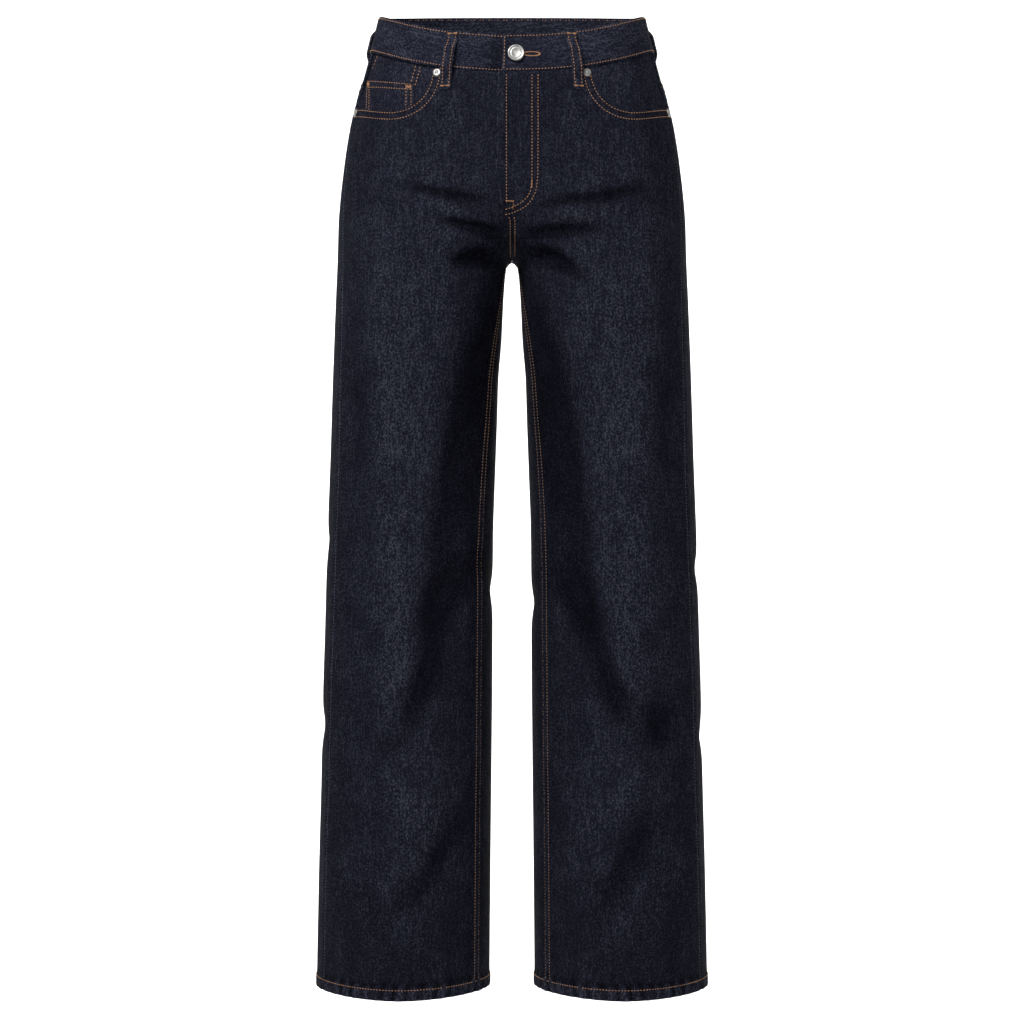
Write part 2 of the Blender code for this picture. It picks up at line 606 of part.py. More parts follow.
def belt_loops():
    """Name, side and middle angle of each of the five loops."""
    front_angle = float(angle_at(FRONT_LOOP_OUT, LOOP_MEASURE_HEIGHT, "front"))
    side_angle = float(side_seam_angle(LOOP_MEASURE_HEIGHT)) + SIDE_LOOP_SHIFT
    loops = [("belt_loop_back", LEFT, math.pi / 2)]
    for side in (LEFT, RIGHT):
        loops.append(("belt_loop_front_" + SIDE_NAMES[side], side, front_angle))
        loops.append(("belt_loop_side_" + SIDE_NAMES[side], side, side_angle))
    return loops


def make_material(look):
    name, colour, roughness, metallic = look
    material = bpy.data.materials.get(name)
    if material:
        return material
    material = bpy.data.materials.new(name)
    material.use_nodes = True
    shader = material.node_tree.nodes["Principled BSDF"]
    shader.inputs["Base Color"].default_value = (*colour, 1.0)
    shader.inputs["Roughness"].default_value = roughness
    shader.inputs["Metallic"].default_value = metallic
    return material


def add_object(name, mesh, look, collection):
    mesh.materials.append(make_material(look))
    piece = bpy.data.objects.new(name, mesh)
    collection.objects.link(piece)
    return piece


def add_sheet(name, columns, rows, place, look, collection):
    """A closed wall of cloth. place gives its points from shares across, down and deep."""
    sheet = bmesh.new()
    bmesh.ops.create_grid(sheet, x_segments=columns, y_segments=rows, size=0.5)
    grown = bmesh.ops.extrude_face_region(sheet, geom=sheet.faces[:])
    inner = [item for item in grown["geom"] if isinstance(item, bmesh.types.BMVert)]
    bmesh.ops.translate(sheet, verts=inner, vec=(0.0, 0.0, -1.0))
    shares = np.array([vert.co for vert in sheet.verts], dtype=float)
    points = place(shares[:, 0] + 0.5, 0.5 - shares[:, 1], -shares[:, 2])
    for vert, point in zip(sheet.verts, points):
        vert.co = point
    bmesh.ops.recalc_face_normals(sheet, faces=sheet.faces[:])
    if sheet.calc_volume(signed=True) < 0.0:
        bmesh.ops.reverse_faces(sheet, faces=sheet.faces[:])
    mesh = bpy.data.meshes.new(name)
    sheet.to_mesh(mesh)
    sheet.free()
    mesh.shade_smooth()
    mesh.set_sharp_from_angle(angle=SHARP_ANGLE)
    return add_object(name, mesh, look, collection)


def hem_wall(height):
    """Wall of a panel: the hem is folded inward, so the cloth is thicker there."""
    return CLOTH_WALL + (HEM_WALL - CLOTH_WALL) * smooth_step(
        HEM_HEIGHT + HEM_DEPTH + 0.002, HEM_HEIGHT + HEM_DEPTH, height)


def make_panels(side, collection):
    """The front and back panel of one leg, each cut in one from rise to hem."""
    def front(across, down, deep):
        angle, height = front_place(side, across, down)
        return cloth(side, angle, height, -deep * hem_wall(height))

    def back(across, down, deep):
        angle, height = back_place(side, across, down)
        return cloth(side, angle, height, -deep * hem_wall(height))

    rows = RISE_ROWS + LEG_ROWS
    add_sheet("front_" + SIDE_NAMES[side], FRONT_COLUMNS, rows, front, DENIM_FRONT, collection)
    add_sheet("back_" + SIDE_NAMES[side], BACK_COLUMNS, rows + 1, back, DENIM_BACK, collection)


def make_yoke(side, collection):
    """The yoke between the waistband and the back panel."""
    def place(across, down, deep):
        angle, height = yoke_place(side, across, down)
        return cloth(side, angle, height, -deep * CLOTH_WALL)

    add_sheet("yoke_" + SIDE_NAMES[side], BACK_COLUMNS, YOKE_ROWS, place, DENIM_BACK, collection)


def make_waistband(collection):
    """One strip from the under end at the left front, round the back, to the over end."""
    def place(across, down, deep):
        travel = band_travel(across)
        side, angle = band_bearing(travel)
        lift = band_lift(travel) - deep * BAND_WALL
        points = np.zeros((len(across), 3))
        for half in (LEFT, RIGHT):
            here = side == half
            height = waist_top(half, angle[here]) - down[here] * band_height(half, angle[here])
            points[here] = cloth(half, angle[here], height, lift[here])
        return points

    add_sheet("waistband", BAND_COLUMNS, BAND_ROWS, place, DENIM_BAND, collection)


def make_pocket_facing(side, collection):
    """The piece that shows inside a front pocket's mouth, tucked behind its neighbours."""
    lift = FACING_LIFT_UNDER_COIN if side == RIGHT else FACING_LIFT

    def place(across, down, deep):
        angle, height = facing_place(side, across, down)
        return cloth(side, angle, height, lift - deep * CLOTH_WALL)

    name = "pocket_facing_" + SIDE_NAMES[side]
    add_sheet(name, FACING_COLUMNS, FACING_ROWS, place, DENIM_POCKET, collection)


def make_coin_pocket(collection):
    """The small pocket on the right facing. Its lower part runs behind the front panel."""
    def place(across, down, deep):
        angle, height = coin_place(across, down)
        lift = FACING_LIFT_UNDER_COIN + LAYER_GAP + (1.0 - deep) * COIN_WALL
        return cloth(RIGHT, angle, height, lift)

    add_sheet("coin_pocket", COIN_COLUMNS, COIN_ROWS, place, DENIM_POCKET, collection)


def make_back_pocket(side, collection):
    """A plain patch pocket laid on the back panel."""
    def place(across, down, deep):
        angle, height = pocket_place(across, down)
        return cloth(side, angle, height, PATCH_GAP + (1.0 - deep) * CLOTH_WALL)

    add_sheet("back_pocket_" + SIDE_NAMES[side], POCKET_COLUMNS, POCKET_ROWS, place, DENIM_BACK, collection)


def make_belt_loop(name, side, middle_angle, collection):
    """A strip tacked down at its two ends, with room for a belt between them."""
    def place(across, down, deep):
        angle, height = loop_place(side, middle_angle, across, down)
        return cloth(side, angle, height, loop_lift(down) + (1.0 - deep) * LOOP_WALL)

    add_sheet(name, LOOP_COLUMNS, LOOP_ROWS, place, DENIM_LOOP, collection)


def add_turned(name, profile, steps, side, angle, height, lift, collection):
    """A turned metal piece that stands on the cloth along its normal."""
    mesh = bpy.data.meshes.new(name)
    mesh.from_pydata([(radius, 0.0, level) for radius, level in profile],
                     [(i, i + 1) for i in range(len(profile) - 1)], [])
    piece = add_object(name, mesh, SILVER_METAL, collection)
    turn = piece.modifiers.new("turn", "SCREW")
    turn.steps = turn.render_steps = steps
    turn.use_merge_vertices = True
    turn.merge_threshold = 0.00001
    turn.use_smooth_shade = True
    angles, heights = np.array([angle]), np.array([height])
    seat = cloth(side, angles, heights, np.array([lift]))[0]
    normal = body_surface(side, angles, heights)[1][0]
    piece.location = Vector(seat)
    piece.rotation_euler = Vector(normal).to_track_quat("Z", "Y").to_euler()
    return piece


def make_button(collection):
    """A shank button: a stem under a dished cap with a rounded rim."""
    angle = float(angle_at(BUTTON_OUT, BUTTON_HEIGHT, "front"))
    add_turned("button", BUTTON_PROFILE, BUTTON_STEPS, LEFT, angle, BUTTON_HEIGHT,
               BAND_PROUD + LAYER_GAP, collection)


def make_rivets(collection):
    """Four capped rivets, at the two ends of each front pocket's mouth."""
    inner_angle = float(angle_at(INNER_RIVET_OUT, INNER_RIVET_HEIGHT, "front"))
    outer_angle = float(side_seam_angle(OUTER_RIVET_HEIGHT)) - OUTER_RIVET_SHIFT
    for side in (LEFT, RIGHT):
        add_turned("rivet_inner_" + SIDE_NAMES[side], RIVET_PROFILE, RIVET_STEPS, side, inner_angle,
                   INNER_RIVET_HEIGHT, LAYER_GAP, collection)
        add_turned("rivet_outer_" + SIDE_NAMES[side], RIVET_PROFILE, RIVET_STEPS, side, outer_angle,
                   OUTER_RIVET_HEIGHT, LAYER_GAP, collection)


def main():
    for old in list(bpy.data.objects):
        bpy.data.objects.remove(old, do_unlink=True)
    collection = bpy.data.collections.new(COLLECTION_NAME)
    bpy.context.scene.collection.children.link(collection)
    make_waistband(collection)
    for side in (LEFT, RIGHT):
        make_panels(side, collection)
        make_yoke(side, collection)
        make_pocket_facing(side, collection)
        make_back_pocket(side, collection)
    make_coin_pocket(collection)
    for name, side, middle_angle in belt_loops():
        make_belt_loop(name, side, middle_angle, collection)
    make_button(collection)
    make_rivets(collection)


if __name__ == "__main__":
    main()
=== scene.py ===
"""Looks of the wide-leg jeans: dark denim with real stitches, metal, lights and camera.

Every sheet of cloth here lies on the surface that the solids are made from, with more
points, its finer creases and its seams. Units are metres, +Z is up and the front faces -Y.
"""

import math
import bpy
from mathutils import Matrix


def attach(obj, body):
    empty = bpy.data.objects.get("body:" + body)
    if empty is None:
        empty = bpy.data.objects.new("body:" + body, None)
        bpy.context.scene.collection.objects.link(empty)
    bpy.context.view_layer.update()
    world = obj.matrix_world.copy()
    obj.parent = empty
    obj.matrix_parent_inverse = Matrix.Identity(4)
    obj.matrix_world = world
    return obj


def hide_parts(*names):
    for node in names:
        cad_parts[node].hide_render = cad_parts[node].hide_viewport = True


bl_info = {
    "name": "Wide-leg jeans",
    "version": (1, 0, 0),
    "blender": (4, 5, 0),
    "location": "3D View > Sidebar > Jeans",
    "description": "Sews the cloth, thread and metal of a pair of wide-leg jeans",
    "category": "Add Mesh",
}

import bmesh
import bpy
import numpy as np
from mathutils import Matrix, Vector

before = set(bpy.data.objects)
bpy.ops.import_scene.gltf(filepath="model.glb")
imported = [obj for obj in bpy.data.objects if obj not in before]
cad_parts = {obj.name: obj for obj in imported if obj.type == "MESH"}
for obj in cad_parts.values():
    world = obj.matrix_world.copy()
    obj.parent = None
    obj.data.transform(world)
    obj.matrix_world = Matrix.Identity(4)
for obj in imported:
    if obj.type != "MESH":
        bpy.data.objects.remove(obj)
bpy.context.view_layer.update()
BODY = "root"

LEFT, RIGHT = 1, -1
SIDE_NAMES = {LEFT: "left", RIGHT: "right"}

# Cloth and seams
CLOTH_WALL = 0.0014
SEAM_GAP = 0.0003
LAYER_GAP = 0.0003
PATCH_GAP = 0.0009
SEAM_ANGLE = 0.0018
HEM_HEIGHT = -1.060
HEM_DEPTH = 0.013
HEM_WALL = 0.0030

# Waistband and its belt loops
BAND_DROP = 0.0394
BAND_FRONT_EXTRA = 0.0018
BAND_WALL = 0.0026
BAND_PROUD = 0.0007
BAND_UNDER_END = math.radians(9.0)
BAND_OVER_END = math.radians(2.9)
BAND_STEP_START = math.radians(3.5)
BAND_STEP_END = math.radians(12.0)
WAIST_SIDE_HEIGHT = 0.0025
WAIST_FRONT_DIP = 0.0366
WAIST_FRONT_DEPTH = 0.090
WAIST_FRONT_POWER = 1.85
WAIST_BACK_SLOPE = 0.209
LOOP_WIDTH = 0.012
LOOP_LENGTH = 0.063
LOOP_WALL = 0.0020
LOOP_CLEARANCE = 0.0068
LOOP_TACK = 0.13
LOOP_BOW = (0.36, 0.62)
LOOP_FOOT = 0.80
LOOP_TOP_DOWN = 0.001
FRONT_LOOP_OUT = 0.0625
LOOP_MEASURE_HEIGHT = -0.030
SIDE_LOOP_SHIFT = 0.42

# Crotch, fly and front pockets
RISE_START = -0.150
CROTCH_HEIGHT = -0.264
RISE_POWER = 1.8
FLY_EDGE = 0.0075
FLY_FADE_TOP = -0.212
FLY_FADE_END = -0.250
SCOOP_START = 0.0855
SCOOP_START_HEIGHT = -0.060
SCOOP_WIDTH = 0.0415
SCOOP_POWER = 2.2
SCOOP_LOW = -0.1112
SCOOP_END = -0.0998
SCOOP_END_IN = 0.003
SCOOP_LIFT_POWER = 1.5
FACING_MARGIN = 0.012
FACING_TUCK = 0.08
FACING_BOTTOM = -0.135
FACING_TOP_UP = 0.006
FACING_MEASURE_ANGLE = -1.0
COIN_INNER = 0.106
COIN_OUTER = 0.1605
COIN_TOP_INNER = -0.0830
COIN_TOP_OUTER = -0.0688
COIN_BOTTOM = -0.126
COIN_WALL = 0.0010

# Back yoke and back pockets
YOKE_SIDE_HEIGHT = -0.080
YOKE_BACK_HEIGHT = -0.100
POCKET_MIDDLE = 0.118
POCKET_TOP_WIDTH = 0.150
POCKET_FOOT_WIDTH = 0.132
POCKET_TOP = -0.109
POCKET_TOP_SLOPE = 0.06
POCKET_SIDE_LENGTH = 0.122
POCKET_MID_LENGTH = 0.144
POCKET_MEASURE_HEIGHT = -0.170

# Metal
BUTTON_OUT = 0.0042
BUTTON_HEIGHT = -0.0545
INNER_RIVET_OUT = 0.0800
INNER_RIVET_HEIGHT = -0.0730
OUTER_RIVET_HEIGHT = -0.1056
OUTER_RIVET_SHIFT = 0.06

# How the panels' columns and rows are shared out
FRONT_COLUMN_PLACES = (-0.0075, 0.020, 0.045, 0.066, 0.0795, 0.0855, 0.0870, 0.0915, 0.0985,
                       0.1095, 0.1235, 0.1410, 0.1570, 0.1720)
RISE_ROWS = 9
LEG_ROWS = 19
SIDE_RISE_END = -0.300
SCOOP_ROWS = 0.45

# One row for each section: half-width to the outside, front and back of the section,
# the depth at which it is widest, and how square its front and back are.
SECTION_COLUMNS = ("height", "outer", "front", "back", "middle", "front_power", "back_power")
SECTIONS = (
    (0.030, 0.1400, -0.0850, 0.0970, 0.004, 2.10, 2.05),
    (0.000, 0.1470, -0.0880, 0.0990, 0.004, 2.12, 2.05),
    (-0.036, 0.1560, -0.0915, 0.1040, 0.005, 2.15, 2.08),
    (-0.066, 0.1640, -0.0950, 0.1110, 0.006, 2.18, 2.10),
    (-0.092, 0.1720, -0.0985, 0.1170, 0.007, 2.20, 2.12),
    (-0.119, 0.1786, -0.1010, 0.1220, 0.008, 2.22, 2.14),
    (-0.145, 0.1830, -0.1030, 0.1260, 0.009, 2.24, 2.16),
    (-0.171, 0.1864, -0.1045, 0.1290, 0.009, 2.25, 2.18),
    (-0.198, 0.1893, -0.1060, 0.1300, 0.009, 2.25, 2.20),
    (-0.224, 0.1911, -0.1065, 0.1285, 0.008, 2.25, 2.20),
    (-0.264, 0.1920, -0.1065, 0.1240, 0.007, 2.25, 2.20),
    (-0.308, 0.1938, -0.1050, 0.1180, 0.006, 2.25, 2.20),
    (-0.396, 0.1970, -0.1010, 0.1080, 0.004, 2.28, 2.20),
    (-0.484, 0.1996, -0.0975, 0.0995, 0.002, 2.32, 2.20),
    (-0.572, 0.2027, -0.0945, 0.0945, 0.000, 2.35, 2.20),
    (-0.660, 0.2051, -0.0935, 0.0935, 0.000, 2.32, 2.20),
    (-0.748, 0.2078, -0.0930, 0.0940, 0.000, 2.28, 2.18),
    (-0.836, 0.2095, -0.0935, 0.0950, 0.000, 2.24, 2.15),
    (-0.924, 0.2120, -0.0945, 0.0960, 0.000, 2.10, 2.12),
    (-1.012, 0.2140, -0.0962, 0.0970, 0.000, 1.86, 2.05),
    (-1.062, 0.2150, -0.0975, 0.0975, 0.000, 1.70, 2.00),
)

# Inner edge of each leg below the crotch, measured from the middle plane.
INNER_COLUMNS = ("height", "inner")
INNER_EDGE = (
    (-0.264, 0.0000),
    (-0.270, 0.0058),
    (-0.277, 0.0070),
    (-0.308, 0.0094),
    (-0.352, 0.0115),
    (-0.396, 0.0150),
    (-0.440, 0.0163),
    (-0.484, 0.0179),
    (-0.572, 0.0207),
    (-0.748, 0.0218),
    (-0.924, 0.0236),
    (-1.062, 0.0248),
)

# How far in from the outline the side seam and the inseam run, seen from the front.
SEAM_COLUMNS = ("height", "side_inset", "inseam_inset")
SEAM_PLACES = (
    (0.030, 0.0030, 0.0000),
    (-0.100, 0.0030, 0.0000),
    (-0.200, 0.0060, 0.0000),
    (-0.264, 0.0085, 0.0000),
    (-0.300, 0.0100, 0.0010),
    (-0.360, 0.0110, 0.0050),
    (-0.420, 0.0115, 0.0065),
    (-0.500, 0.0125, 0.0090),
    (-0.600, 0.0120, 0.0105),
    (-0.750, 0.0110, 0.0110),
    (-1.062, 0.0095, 0.0110),
)

# One row for each fold, as a curve from its start round a bend to its end. On the front
# and back faces "across" is the distance out from the middle plane, and on the outer and
# inner faces it is the depth. A trough has a negative rise and a ridge a positive one.
FOLD_COLUMNS = ("side", "face", "start_across", "start_height", "bend_across", "bend_height",
                "end_across", "end_height", "width", "rise")
FOLDS = (
    (RIGHT, "front", 0.084, -0.204, 0.060, -0.212, 0.036, -0.226, 0.007, -0.0030),
    (RIGHT, "front", 0.088, -0.219, 0.060, -0.226, 0.030, -0.240, 0.009, 0.0025),
    (RIGHT, "front", 0.074, -0.230, 0.045, -0.240, 0.006, -0.252, 0.007, -0.0040),
    (RIGHT, "front", 0.064, -0.272, 0.036, -0.276, 0.012, -0.270, 0.008, -0.0035),
    (RIGHT, "front", 0.040, -0.590, 0.092, -0.628, 0.086, -0.690, 0.016, -0.0060),
    (RIGHT, "front", 0.086, -0.680, 0.094, -0.735, 0.120, -0.772, 0.015, -0.0055),
    (RIGHT, "front", 0.112, -0.560, 0.108, -0.640, 0.124, -0.762, 0.018, 0.0045),
    (RIGHT, "front", 0.060, -0.868, 0.080, -0.925, 0.124, -0.964, 0.015, -0.0045),
    (RIGHT, "front", 0.110, -0.835, 0.102, -0.875, 0.090, -0.915, 0.016, 0.0035),
    (RIGHT, "front", 0.036, -0.330, 0.050, -0.420, 0.052, -0.530, 0.020, -0.0030),
    (LEFT, "front", 0.024, -0.245, 0.056, -0.247, 0.092, -0.242, 0.008, -0.0035),
    (LEFT, "front", 0.064, -0.213, 0.084, -0.212, 0.104, -0.206, 0.007, -0.0020),
    (LEFT, "front", 0.018, -0.268, 0.052, -0.272, 0.076, -0.294, 0.009, -0.0040),
    (LEFT, "front", 0.056, -0.586, 0.074, -0.640, 0.096, -0.694, 0.016, -0.0060),
    (LEFT, "front", 0.096, -0.690, 0.108, -0.735, 0.122, -0.768, 0.014, -0.0050),
    (LEFT, "front", 0.108, -0.570, 0.108, -0.640, 0.124, -0.706, 0.017, 0.0045),
    (LEFT, "front", 0.154, -0.742, 0.157, -0.768, 0.152, -0.796, 0.016, -0.0040),
    (LEFT, "front", 0.142, -0.864, 0.132, -0.905, 0.094, -0.968, 0.016, -0.0045),
    (LEFT, "front", 0.036, -0.340, 0.052, -0.430, 0.050, -0.540, 0.020, -0.0030),
    (RIGHT, "back", 0.020, -0.292, 0.085, -0.318, 0.150, -0.292, 0.015, -0.0050),
    (RIGHT, "back", 0.034, -0.338, 0.090, -0.352, 0.138, -0.340, 0.014, -0.0030),
    (RIGHT, "back", 0.060, -0.560, 0.100, -0.590, 0.150, -0.580, 0.014, -0.0050),
    (RIGHT, "back", 0.046, -0.640, 0.090, -0.625, 0.140, -0.655, 0.015, -0.0045),
    (RIGHT, "back", 0.080, -0.720, 0.112, -0.760, 0.156, -0.772, 0.016, -0.0035),
    (RIGHT, "back", 0.056, -0.900, 0.094, -0.930, 0.140, -0.925, 0.017, -0.0040),
    (LEFT, "back", 0.022, -0.296, 0.080, -0.322, 0.148, -0.300, 0.015, -0.0050),
    (LEFT, "back", 0.040, -0.346, 0.086, -0.356, 0.130, -0.348, 0.014, -0.0028),
    (LEFT, "back", 0.052, -0.574, 0.096, -0.600, 0.154, -0.592, 0.015, -0.0048),
    (LEFT, "back", 0.060, -0.662, 0.104, -0.640, 0.146, -0.668, 0.014, -0.0042),
    (LEFT, "back", 0.070, -0.742, 0.118, -0.772, 0.160, -0.760, 0.016, -0.0038),
    (LEFT, "back", 0.050, -0.884, 0.100, -0.922, 0.150, -0.940, 0.017, -0.0040),
    (RIGHT, "outer", -0.030, -0.560, 0.010, -0.600, 0.045, -0.590, 0.014, -0.0035),
    (RIGHT, "outer", -0.040, -0.760, 0.005, -0.790, 0.046, -0.772, 0.016, -0.0035),
    (LEFT, "outer", -0.040, -0.590, 0.004, -0.622, 0.048, -0.600, 0.015, -0.0035),
    (LEFT, "outer", -0.036, -0.800, 0.006, -0.770, 0.050, -0.765, 0.016, -0.0035),
    (RIGHT, "inner", -0.040, -0.600, 0.000, -0.640, 0.045, -0.632, 0.015, -0.0030),
    (LEFT, "inner", -0.042, -0.620, 0.002, -0.652, 0.046, -0.640, 0.015, -0.0030),
)
FOLD_STEPS = 8
FOLD_END_DEPTH = 0.08
FOLD_FACING = (0.1, 0.6)
CROTCH_FADE_TOP = -0.200
CROTCH_FADE_WIDTH = 0.020

# Finer cloth: lines that crowd at seams, and how many run between them
EDGE_LINES = (0.0, 0.0006, 0.0015, 0.0030, 0.0060, 0.0085, 0.0100, 0.0120, 0.0160)
TOP_LINES = (0.0, 0.0006, 0.0015, 0.0030, 0.0060)
HEM_LINES = (0.0, 0.0010, 0.0030, 0.0060, 0.0090, 0.0115, 0.0130, 0.0145, 0.0180)
SHORT_EDGE_LINES = (0.0, 0.0005, 0.0012, 0.0020, 0.0032)
FRONT_MIDDLE = 74
FRONT_ROWS = 240
FRONT_LENGTH = 0.98
BACK_MIDDLE = 112
BACK_ROWS = 240
BACK_LENGTH = 1.03
BAND_LENGTH = 0.80
PATTERN_MAP = "cloth_grain"
# Per-point value that the denim reads: high on ridges and seam edges from abrasion, low in the bottoms of
# creases as painted shade
WEAR_AND_SHADE_NAME = "wear_and_shade"
WEAR_AND_SHADE_BY_RISE = 250.0
# Pale line along the cut and folded edges: partly abrasion, partly a painted highlight
EDGE_PALE_RIM_AND_HIGHLIGHT = 0.45
# Paleness down the middle of each leg per height, less a constant that makes the sides darker: partly fading,
# partly painted light and painted shade
SIDE_SHADE_BASE = 0.17
RUB_AND_LIGHT_COLUMNS = ("height", "middle", "width", "pale")
RUB_AND_LIGHT_PLACES = (
    (0.000, 0.080, 0.110, 0.30),
    (-0.110, 0.090, 0.080, 0.16),
    (-0.200, 0.098, 0.070, 0.20),
    (-0.300, 0.112, 0.058, 0.38),
    (-0.450, 0.118, 0.048, 0.38),
    (-0.600, 0.122, 0.048, 0.28),
    (-0.750, 0.118, 0.055, 0.18),
    (-0.900, 0.112, 0.060, 0.22),
    (-1.000, 0.112, 0.070, 0.06),
    (-1.060, 0.112, 0.075, 0.00),
)
GRAIN_OUT = 0.105
GRAIN_LOW = -1.09
GRAIN_HIGH = 0.05
GRAIN_ROWS = 130
GRAIN_COLUMNS = 361
ARC_TABLES = {}

# Raised seams, folded edges and the puckers that the stitches draw in
FELL_WIDTH = 0.0085
FELL_RISE = 0.0007
PUCKER_LENGTH = 0.0095
PUCKER_RISE = 0.00025
BAND_PUCKER = 0.00020
HEM_RISE = 0.0008
HEM_PUCKER_LENGTH = 0.0145
HEM_PUCKER_WEAR = 0.85
HEM_WEAR = 0.34
# Painted shadow on the cloth just above the hem's stitches
HEM_SEW_SHADE = 0.22
FLY_LAP_RISE = 0.0013
FLY_LAP_END = -0.212
FLY_TAPE_OUT = 0.0115
FLY_TAPE_WIDTH = 0.0026
FLY_TAPE_RISE = 0.0013
FLY_TAPE_END = -0.212
CROTCH_LAP = 0.040
CROTCH_LAP_OUT = 0.0036
CROTCH_LAP_FADE = (-0.2660, -0.2645)
FACING_REST = -0.0018
POCKET_MOUTH_RISE = 0.0009

# Stitches, in metres along and across the thread
THREAD_FLATNESS = 0.8
BARTACK_PITCH = 0.0009
BAND_SEW_IN = 0.0024
BAND_END_SEW_IN = 0.011
BAND_SEW_SHIFT = 0.02
FLY_EDGE_SEW_IN = 0.0016
FLY_SEW_OUT = 0.0280
FLY_LAP_EDGE = (FLY_SEW_OUT + 0.005, FLY_SEW_OUT + 0.002)
FLY_SEW_TOP = -0.0765
FLY_SEW_END = -0.2140
# The fly's outer and inner curved lines: distance out from the middle plane, and height
FLY_CURVE = (
    (0.0275, -0.0765),
    (0.0275, -0.1300),
    (0.0272, -0.1780),
    (0.0264, -0.1930),
    (0.0234, -0.2065),
    (0.0150, -0.2172),
    (0.0030, -0.2230),
    (-0.0078, -0.2262),
)
FLY_INNER_CURVE = (
    (0.0211, -0.0765),
    (0.0211, -0.1300),
    (0.0211, -0.1780),
    (0.0207, -0.1930),
    (0.0188, -0.2040),
    (0.0122, -0.2120),
    (0.0025, -0.2172),
    (-0.0078, -0.2208),
)
FLY_BARTACK_COLUMNS = ("start_out", "start_height", "end_out", "end_height", "width", "lift")
FLY_BARTACKS = (
    (-0.0078, -0.2115, 0.0020, -0.2120, 0.0020, 0.0012),
    (0.0016, -0.2135, 0.0012, -0.2200, 0.0010, 0.0009),
    (0.0209, -0.1981, 0.0211, -0.1905, 0.0022, 0.0014),
)
CROTCH_SEW_TOP = -0.2275
CROTCH_SEW_IN = (0.0014, 0.0070)
SCOOP_SEW_IN = (0.0024, 0.0094)
INSEAM_SEW_IN = (0.0030, 0.0104)
INSEAM_SUNK = 0.00015
BESIDE_REACH = 0.6
SIDE_SEW_IN = 0.0030
SIDE_SEW_TOP = -0.125
HEM_SEW_UP = 0.0115
FELL_SEW_IN = (0.0018, 0.0078)
COIN_TOP_SEW_IN = (0.020, 0.150)
COIN_SIDE_SEW_IN = (0.035, 0.115)
POCKET_SEW_IN = (0.0020, 0.0085)
POCKET_MOUTH_SEW_IN = (0.0100, 0.0160)
LOOP_SEW_AT = (0.18, 0.80)
LOOP_TACKS_AT = (0.045, 0.945)
LOOP_TACK_SPAN = (0.10, 0.90)
LOOP_TACK_STITCHES = 12
LOOP_TACK_TALL = 0.0033
COIN_TACK_WIDTH = 0.07
FACING_SEWING_COLUMNS = ("side", "start_out", "start_height", "end_out", "end_height")
FACING_SEWING = (
    (RIGHT, 0.1043, -0.0620, 0.1092, -0.0805),
    (RIGHT, 0.0990, -0.0640, 0.1050, -0.0850),
    (RIGHT, 0.1490, -0.0430, 0.1550, -0.0580),
)
BUTTONHOLE_OUT = 0.0208
BUTTONHOLE_HALF_LENGTH = 0.0066
BUTTONHOLE_INNER = 0.0010
BUTTONHOLE_OUTER = 0.0034
BUTTONHOLE_STITCHES = 56
METAL_STEPS = 64
BUTTON_RADIUS = 0.0090
RIVET_RADIUS = 0.0045

# Twill lines of the weave, and a turn that keeps the flecks off a square grid
NOISE_TURN = (0.35, 0.25, 0.60)
NOISE_SHIFT = (0.30, 0.70, 0.37)
TWILL_SLANT = math.radians(24.0)
TWILL_SCALE = 285.0

# Stage, lights and camera
STAGE_REACH = 6.0
STAGE_BACK = 3.2
STAGE_CURVE = 1.6
STAGE_TOP = 5.0
FLOOR_LEVEL = -1.36
MIDDLE_HEIGHT = -0.541
CAMERA_DEPTH = -2.6
CAMERA_LENS = 83.0
CAMERA_SENSOR = 36.0
CAMERA_SHIFT = (0.0, 0.0)
WORLD_STRENGTH = 0.21
LIGHT_COLUMNS = ("name", "right", "depth", "up", "aim_right", "aim_depth", "aim_up", "width", "tall", "power")
LIGHTS = (
    ("key_left", -0.8, -1.85, 1.2, 0.0, 0.0, -0.30, 1.0, 0.8, 42.0),
    ("fill_right", 1.3, -2.9, 0.2, 0.0, 0.0, -0.45, 1.6, 1.6, 4.5),
    ("backdrop_left", -1.7, 1.0, -0.2, -1.0, 3.2, -0.5, 2.0, 2.2, 92.0),
    ("backdrop_right", 1.7, 1.0, -0.2, 1.0, 3.2, -0.5, 2.0, 2.2, 92.0),
)

